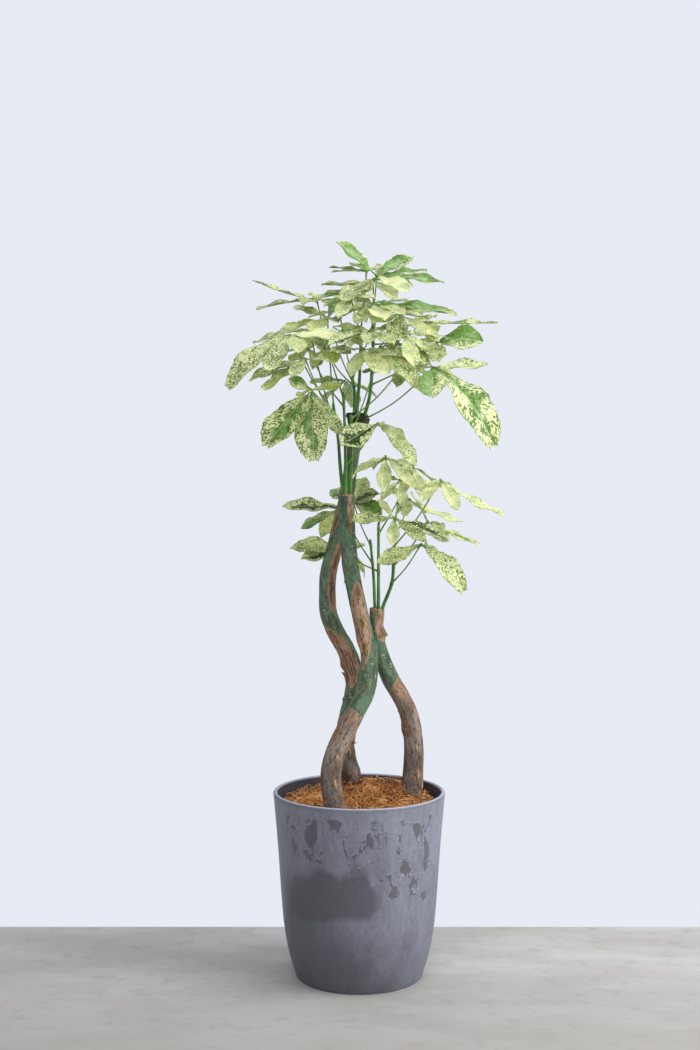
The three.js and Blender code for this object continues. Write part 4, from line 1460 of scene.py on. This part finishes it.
TRUNKS = (
    Trunk("front", [
        [-30, -90, 205, 15], [-33, -92, 260, 20], [-38, -92, 300, 18.5], [-47, -84, 349, 17.5],
        [-47, -78, 374, 17.5], [-37, -68, 408, 17.5], [-21, -55, 441, 17], [-4, -43, 472, 16.5],
        [10, -33, 500, 16.5], [17, -24, 535, 15.5], [16, -18, 571, 15], [7, -17, 609, 14.5],
        [-11, -19, 692, 14], [-20, -21, 765, 14], [-22, -22, 841, 14],
    ], knots=[[425, 10, 6, 12], [590, 170, 2.5, 14], [720, 250, 2, 12]], peels=(
        Peel(612, -108, 76, 66, 0.64), Peel(812, -62, 34, 22), Peel(560, -175, 90, 26, 0.3),
        Peel(700, 80, 60, 60, 0.5), Peel(842, 0, 3, 400), Peel(742, 170, 22, 30, 0.4),
    ), old_below=466, old_slant=-3, flakes=(Flake(408, -20, 13, 9, 7), Flake(702, 176, -14, 8, 2))),
    Trunk("left", [
        [-8, 76, 205, 15], [-8, 74, 260, 22], [-12, 70, 299, 20], [-20, 54, 356, 17],
        [-24, 30, 423, 15.5], [-11, 14, 488, 15.5], [-8, 14, 518, 15.5], [-14, 16, 546, 15.5],
        [-28, 17, 575, 16], [-43, 15, 602, 15.5], [-54, 11, 634, 15], [-56, 9, 666, 14.5],
        [-54, 10, 701, 14.5], [-37, 17, 770, 13.5], [-20, 23, 847, 12.5], [-14, 22, 891, 12],
        [-6, 19, 945, 12.5], [-3, 18, 962, 17], [-2, 18, 982, 17.5],
    ], knots=[[545, 190, 5, 11], [345, 320, 5, 16], [968, 20, 3, 9], [975, 150, 3, 9]], peels=(
        Peel(716, -30, 84, 56, 0.12), Peel(560, -130, 54, 84, -0.3), Peel(800, -150, 40, 50, 0.6),
        Peel(640, 100, 50, 50, 0.5), Peel(880, 30, 26, 40, 0.4),
    ), old_below=450, callus=1.0, flakes=(
        Flake(486, -150, 44, 17, 7), Flake(496, -166, -16, 8, 3))),
    Trunk("right", [
        [88, 24, 205, 15], [90, 22, 260, 22], [92, 20, 301, 20], [96, 19, 354, 18],
        [97, 18, 392, 17], [94, 17, 427, 16.5], [85, 16, 461, 16], [71, 15, 489, 15.5],
        [56, 14, 514, 15.5], [44, 13, 542, 14.5], [34, 13, 571, 13.5], [30, 13, 602, 12.5],
        [31, 13, 641, 13],
    ], knots=[[595, 15, 5, 9], [430, 170, 2.5, 12]], peels=(
        Peel(616, -40, 34, 62), Peel(596, 0, 20, 44), Peel(640, 0, 5, 400),
    ), old_below=508, old_slant=9, flakes=(Flake(620, -28, -26, 11, 4), Flake(452, -160, 9, 7, 3))),
)

SHOOTS: dict[str, Line] = {
    "front_1": [[-27, -24, 831, 3.2], [-33, -30, 891, 3], [-36, -34, 932, 2.6],
                [-44, -40, 990, 2.2]],
    "front_2": [[-23, -31, 831, 3.2], [-24, -38, 927, 2.8], [-27, -44, 1008, 2.2]],
    "front_3": [[-16, -25, 831, 3], [-13, -30, 916, 2.6], [-14, -34, 971, 2.2]],
    "left_1": [[-5, 14, 970, 3.2], [-2, 14, 1008, 3], [1, 12, 1051, 2.6], [3, 16, 1126, 2.2]],
    "left_2": [[6, 17, 968, 3.2], [13, 14, 990, 3.2], [18, 10, 1010, 3], [22, 4, 1049, 2.8],
               [24, 0, 1099, 2.5], [23, 0, 1145, 2.2]],
    "left_3": [[-9, 23, 970, 3], [-8, 28, 1019, 2.6], [-12, 30, 1046, 2.2]],
    "right_1": [[28, 10, 631, 3], [25, 10, 699, 2.6], [20, 10, 755, 2.2]],
    "right_2": [[34, 16, 630, 3.2], [34, 20, 702, 2.8], [34, 22, 784, 2.2]],
    "right_3": [[37, 8, 630, 3.2], [43, 6, 648, 3.2], [57, 0, 687, 3], [60, -5, 733, 2.6],
                [61, -8, 782, 2.2]],
}

# Each leaf's offsets run from its hub to the leaflets' tips, with a width factor where it isn't 1,
# and it has one habit letter for each leaflet.
LEAVES = (
    Leaf("top_front", "left_2", 1145, (30, -20, 1215), 35,
         [[-70, -25, 55, 1.25], [65, 45, 40, 1.25], [115, -10, -12, 0.7], [90, 75, 20, 0.5],
          [50, -75, -35, 1.15], [15, 70, 25]], "fgfgCp"),
    Leaf("top_back", "left_1", 1125, (13, 35, 1231), 10,
         [[-65, -45, 0], [-62, 50, 6, 0.7], [-25, 75, 25], [55, 70, 20]], "fGgs"),
    Leaf("top_low", "left_2", 1125, (25, 20, 1215), 18,
         [[-90, -40, -14, 0.9, -0.05], [-100, -65, -42, 0.7, -0.04], [-55, -95, -50],
          [-20, -60, -35], [70, 55, 0], [38, -50, -42, 1.2]], "pgpyoc"),
    Leaf("upper_mid", "left_2", 1105, (30, -25, 1165), 20,
         [[138, 15, -14, 1.4, 0], [45, -75, -25], [-70, -45, -25], [-60, 65, 20], [-35, -80, -40],
          [10, -95, -35, 1.2]], "gcposc"),
    Leaf("far_left", "front_2", 1004, (-75, 65, 1185), 8,
         [[-115, 20, 38, 0.6, -0.04], [-105, -25, -20, 1.1, 0.03], [40, 10, 0], [-20, -100, -20],
          [0, 90, 20]], "spsoo"),
    Leaf("left_green", "front_1", 988, (-55, -10, 1145), 30,
         [[30, 70, 40], [-60, 30, 22], [-80, -15, -22, 1, -0.02], [20, -70, -15], [-25, -85, -35]],
         "gsopo"),
    Leaf("left_front", "front_1", 979, (-115, -110, 1105), 38,
         [[95, 25, 0], [-65, 70, -5], [-103, -25, -90, 0.95, 0.11], [-35, -70, -65],
          [20, -80, -35]],
         "csssy"),
    Leaf("left_low", "front_1", 970, (-90, -120, 1065), 22,
         [[-93, -15, -38, 1.1], [-75, 35, -45, 0.9], [-68, -40, -55, 0.8], [-20, -60, -35],
          [40, -25, -5]], "sooss"),
    Leaf("hanging", "front_1", 960, (-80, -100, 1015), 63,
         [[-76, -35, -97, 1.3], [5, -30, -120, 1.35], [-38, -12, 18, 1.5], [50, 30, 10],
          [50, 15, -73, 0.8], [-20, -60, -15]], "pPGoso", lean=-19),
    Leaf("low_front", "front_2", 890, (30, -80, 960), 55,
         [[-62, -35, -38, 1.7], [65, -15, -70, 0.85, 0.09], [45, -50, -30], [25, 55, -10]],
         "bsso", lean=8),
    Leaf("right_big", "left_trunk", 965, (125, -65, 1055), 38,
         [[95, 30, 7, 0.9], [100, -40, -136, 1.1, 0.13], [-10, -85, -55, 1.35], [-40, 5, 0],
          [60, 70, -25, 1.3], [-50, 60, 45]], "spGsoo"),
    Leaf("right_green", "left_2", 1030, (135, 25, 1105), 55,
         [[80, -25, 0, 1.9, 0.1], [-5, -90, -40], [-30, 65, 10], [-30, -75, -20], [5, 75, -10]],
         "gsoys"),
    Leaf("right_far", "left_2", 1060, (110, 65, 1145), 14,
         [[135, -10, -2, 0.75, -0.01], [25, 80, 20], [25, -80, -25], [-15, 75, 30],
          [-60, -60, -25]],
         "ssoso"),
    Leaf("centre_front", "front_2", 1000, (5, -85, 1085), 30,
         [[-55, -55, -10], [-20, -50, -50], [35, -85, -50], [55, -35, -15], [-20, 65, 35]],
         "syyso"),
    Leaf("centre_right", "front_3", 945, (35, -65, 1090), 35,
         [[65, -45, -72], [80, -15, -30], [40, 5, 5], [-30, -35, -30], [10, -70, -50]], "sspyc"),
    Leaf("centre_low", "front_3", 970, (75, -30, 1060), 30,
         [[-70, 0, -10], [-13, -55, -40], [60, 25, -20], [20, 90, 35]], "psso"),
    Leaf("centre_dark", "left_1", 1085, (20, -85, 1115), 25,
         [[-75, -50, -30], [-65, 20, 10], [35, -75, -30], [55, 55, 10], [-5, -95, -30]],
         "bosos"),
    Leaf("right_pale", "left_2", 1080, (70, -20, 1150), 30,
         [[65, -30, -50], [-10, -90, -55], [-50, -75, -25, 1.3], [-5, 90, 30], [55, 75, 0]],
         "ysysy"),
    Leaf("left_olive", "front_2", 990, (-90, 40, 1095), 30,
         [[-15, 35, 30], [30, 80, 25], [-45, 60, 0], [25, -50, -30], [-30, -60, -30]], "ooooo"),
    Leaf("left_centre", "left_3", 1030, (-60, -45, 1090), 30,
         [[45, -60, -15], [15, -95, -35], [-18, -50, -40], [25, 40, 20]], "soso"),
    Leaf("mid_top", "left_1", 1120, (-15, -30, 1180), 25,
         [[-45, -20, -20], [-20, -65, -45], [28, 10, -45, 1.4], [40, -50, -10], [-15, 55, 15]],
         "gyyco"),
    Leaf("mid_right", "left_2", 1100, (75, -80, 1110), 30,
         [[40, -25, -30], [70, 35, 0], [15, -55, -60], [-25, -5, -30], [5, 55, 10]], "ssyso"),
    Leaf("mid_back", "left_3", 1040, (-35, 60, 1165), 20,
         [[-55, 15, -10], [-30, 50, 25], [10, 70, 45], [40, 50, 15]], "osos"),
    Leaf("mid_left", "front_1", 950, (-85, -10, 1120), 30,
         [[-50, 10, -20], [-60, 50, 5], [-15, -50, -40], [20, -55, -30]], "oyos"),
    Leaf("back_left", "left_3", 1035, (-45, 105, 1125), 30,
         [[-65, 45, 15], [-25, 85, -20], [30, 100, -10], [55, 65, 15]], "spsg"),
    Leaf("back_right", "left_2", 1050, (80, 115, 1100), 30,
         [[70, 45, 5], [45, 75, -25], [-10, 90, -25], [-50, 60, 0]], "psbs"),
    Leaf("back_top", "left_1", 1105, (45, 90, 1185), 20,
         [[55, 50, 5], [50, 75, -15], [5, 95, -20], [-45, 70, -5]], "spsc"),
    Leaf("back_low", "left_1", 1030, (-25, 120, 1045), 35,
         [[-65, 40, 0], [-40, 75, -35], [15, 90, -45], [60, 75, -25]], "sgsp"),
    Leaf("low_right", "right_3", 685, (105, -45, 755), 45,
         [[-75, -25, -30, 1.2, -0.03], [72, -25, -80, 1.05, 0.14], [40, 80, -20]], "sss"),
    Leaf("low_far", "right_3", 750, (140, -20, 865), 30,
         [[110, 0, -60, 0.5, -0.05], [26, -55, -50, 0.95], [-38, -35, -12, 0.9],
          [-38, -65, -38, 0.8], [20, 90, -20, 0.8]], "ycyyy"),
    Leaf("low_top", "right_2", 780, (45, -35, 905), 40,
         [[-55, -40, -30, 0.6, 0.06], [-5, -55, -60, 0.9], [50, -40, -55, 0.75],
          [-20, 65, -20, 0.9],
          [30, 70, -20, 0.9]], "yyyyo"),
    Leaf("low_back", "right_2", 770, (95, 40, 890), 30,
         [[-20, -40, -50, 0.8], [-30, 55, 10], [15, -35, -55, 0.95], [50, 60, -38]], "yyyo"),
    Leaf("low_mid", "right_3", 715, (115, -65, 795), 30,
         [[-30, -35, 50, 0.8], [90, 15, -40, 0.5, -0.03], [38, -15, -28, 0.8],
          [25, -60, -10, 0.8]],
         "sppp"),
    Leaf("low_centre", "right_3", 775, (60, -30, 800), 35,
         [[95, -5, -40, 0.8], [50, -70, -40, 0.8], [-75, -45, -5, 1.1], [-28, 12, 32],
          [-5, -65, -45, 0.8], [20, 5, 35, 0.8]], "bssyys"),
    Leaf("behind_left", "right_1", 720, (-30, 80, 815), 35,
         [[-105, -20, 3, 1.1], [-75, 15, -38, 1, 0], [-38, -35, -52, 1.2], [20, 70, 30]], "bgop"),
    Leaf("behind_right", "right_1", 750, (-10, 75, 825), 50,
         [[46, -35, 16, 1.5], [50, -50, -20, 1.5], [-42, 35, 22, 1.5], [22, 30, 45, 1.6]], "bgps"),
    Leaf("behind_low", "right_2", 705, (-25, 60, 740), 40,
         [[-95, -20, 5, 1.2, 0.07], [-77, -35, -14, 1.1], [35, -5, -40], [35, 50, 10],
          [-30, 70, -20]], "sbssp"),
    Leaf("low_inner", "right_3", 780, (70, -20, 865), 35,
         [[-35, -40, -35, 0.8], [5, -50, -50, 0.8], [45, -5, -20, 0.8], [-40, 40, 5],
          [20, 35, 30]], "yyyoy"),
    Leaf("low_pale", "right_3", 765, (90, 50, 830), 30,
         [[95, 15, -40, 0.55, -0.05], [-40, 35, 20], [30, 80, -25, 0.9],
          [-12, -65, -28, 0.8]], "csyy"),
)


@dataclass
class Tree:
    """The trunks, shoots and leaves."""

    trunks: Sequence[Trunk] = TRUNKS
    leaves: Sequence[Leaf] = LEAVES
    shoots: dict[str, Line] = field(default_factory=lambda: SHOOTS)

    def foot(self, leaf: Leaf) -> Vector:
        """Where a leaf's stalk leaves its shoot or trunk, in millimetres."""
        carriers = {**self.shoots, "left_trunk": self.trunks[1].line}
        line = carriers[leaf.on]
        above = next(i for i, point in enumerate(line) if point[2] >= leaf.z)
        low, high = Vector(line[above - 1][:3]), Vector(line[above][:3])
        return low.lerp(high, (leaf.z - low.z) / (high.z - low.z))

    def build(self) -> None:
        """Makes every trunk, shoot and leaf."""
        bark, sawn = BarkFinish("bark").build(), SawnWoodFinish("sawn_wood").build()
        for trunk in self.trunks:
            trunk.build(bark, sawn)
        green = ShootFinish("shoot_green").build()
        for name, line in self.shoots.items():
            joints = [leaf.z for leaf in self.leaves if leaf.on == name]
            Shoot(name, line, joints).build(green)
        upper = BladeFinish("blade_upper").build()
        under = BladeFinish("blade_under", cream=paint(234, 240, 188), olive=paint(196, 206, 120),
                            green=paint(122, 160, 90), deep=paint(82, 124, 66), faint=0.15).build()
        stalk = ShootFinish("leaf_stalk", paint(136, 178, 74), paint(78, 128, 46),
                            paint(180, 204, 110), glow=0.15).build()
        for leaf in self.leaves:
            leaf.build(self.foot(leaf), (upper, under, stalk))


# Studio ------------------------------------------------------------------------------------------


@dataclass
class Studio:
    """Pale floor, soft daylight and the camera that took the photograph."""

    eye: tuple[float, float, float] = (-0.016, -2.535, 0.869)
    pitch: float = -1.85
    lens: float = 50.0
    sky: Colour = paint(231, 235, 244)
    ambient: Colour = paint(240, 240, 244)
    ambient_strength: float = 0.55

    def floor(self) -> None:
        """Lays the floor."""
        bm = bmesh.new()
        bmesh.ops.create_grid(bm, x_segments=8, y_segments=8, size=9)
        mesh = spend("studio_floor", bm)
        mesh.materials.append(FloorFinish("studio_floor").build())
        made = link_data("studio_floor", mesh)

    def lamp(self, name: str, place: Sequence[float], aim: Sequence[float], size: float,
             watts: float, tint: Sequence[float] = (1, 1, 1)) -> None:
        """Hangs one soft square light.

        Args:
            name: the light's name.
            place: where it hangs, in metres.
            aim: what it points at.
            size: the length of its side.
            watts: its power.
            tint: its colour.
        """
        light = bpy.data.lights.new(name, "AREA")
        light.energy, light.size, light.color = watts, size, tint
        made = link_data(name, light)
        made.location = place
        made.rotation_euler = (Vector(aim) - Vector(place)).to_track_quat("-Z", "Y").to_euler()

    def camera(self) -> None:
        """Places the camera."""
        view = bpy.data.cameras.new("camera")
        view.lens, view.sensor_width, view.sensor_fit = self.lens, 36.0, "AUTO"
        view.clip_end = 60
        made = link_data("camera", view)
        made.location = self.eye
        made.rotation_euler = (math.radians(90 + self.pitch), 0, 0)
        bpy.context.scene.camera = made

    def sky_light(self) -> None:
        """Sets the plain pale background, and a dimmer neutral sky that lights the plant."""
        world = bpy.data.worlds.new("studio")
        world.use_nodes = True
        tree = world.node_tree
        seen = tree.nodes["Background"]
        seen.inputs["Color"].default_value = self.sky
        lit = tree.nodes.new("ShaderNodeBackground")
        lit.inputs["Color"].default_value = self.ambient
        lit.inputs["Strength"].default_value = self.ambient_strength
        path, mix = tree.nodes.new("ShaderNodeLightPath"), tree.nodes.new("ShaderNodeMixShader")
        tree.links.new(path.outputs["Is Camera Ray"], mix.inputs[0])
        tree.links.new(lit.outputs[0], mix.inputs[1])
        tree.links.new(seen.outputs[0], mix.inputs[2])
        tree.links.new(mix.outputs[0], tree.nodes["World Output"].inputs[0])
        bpy.context.scene.world = world

    def build(self) -> None:
        """Sets up floor, lights, sky and camera."""
        bpy.context.scene.view_settings.view_transform = "Standard"
        self.sky_light()
        self.floor()
        self.lamp("window", (2.5, -0.9, 1.5), (0, 0, 0.7), 2.2, 92, (1.0, 0.98, 0.95))
        self.lamp("ceiling", (0.5, 0.1, 3.3), (0, 0, 0.9), 2.6, 42, (1.0, 0.99, 0.96))
        self.lamp("front", (-0.7, -3.2, 2.0), (0, 0, 0.9), 2.6, 50, (1.0, 0.99, 0.97))
        self.camera()


def main() -> None:
    """Builds the studio, the soil's finish, the planter and the tree."""
    logging.basicConfig(level=logging.INFO, format="%(message)s")
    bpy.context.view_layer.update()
    Studio().build()
    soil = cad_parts["potting_soil"]
    earth = EarthFinish("potting_earth").build()
    for slot in soil.material_slots:
        slot.material = earth
    planter = Planter()
    planter.build()
    CoirMulch(planter).build()
    Tree().build()


if __name__ == "__main__":
    main()
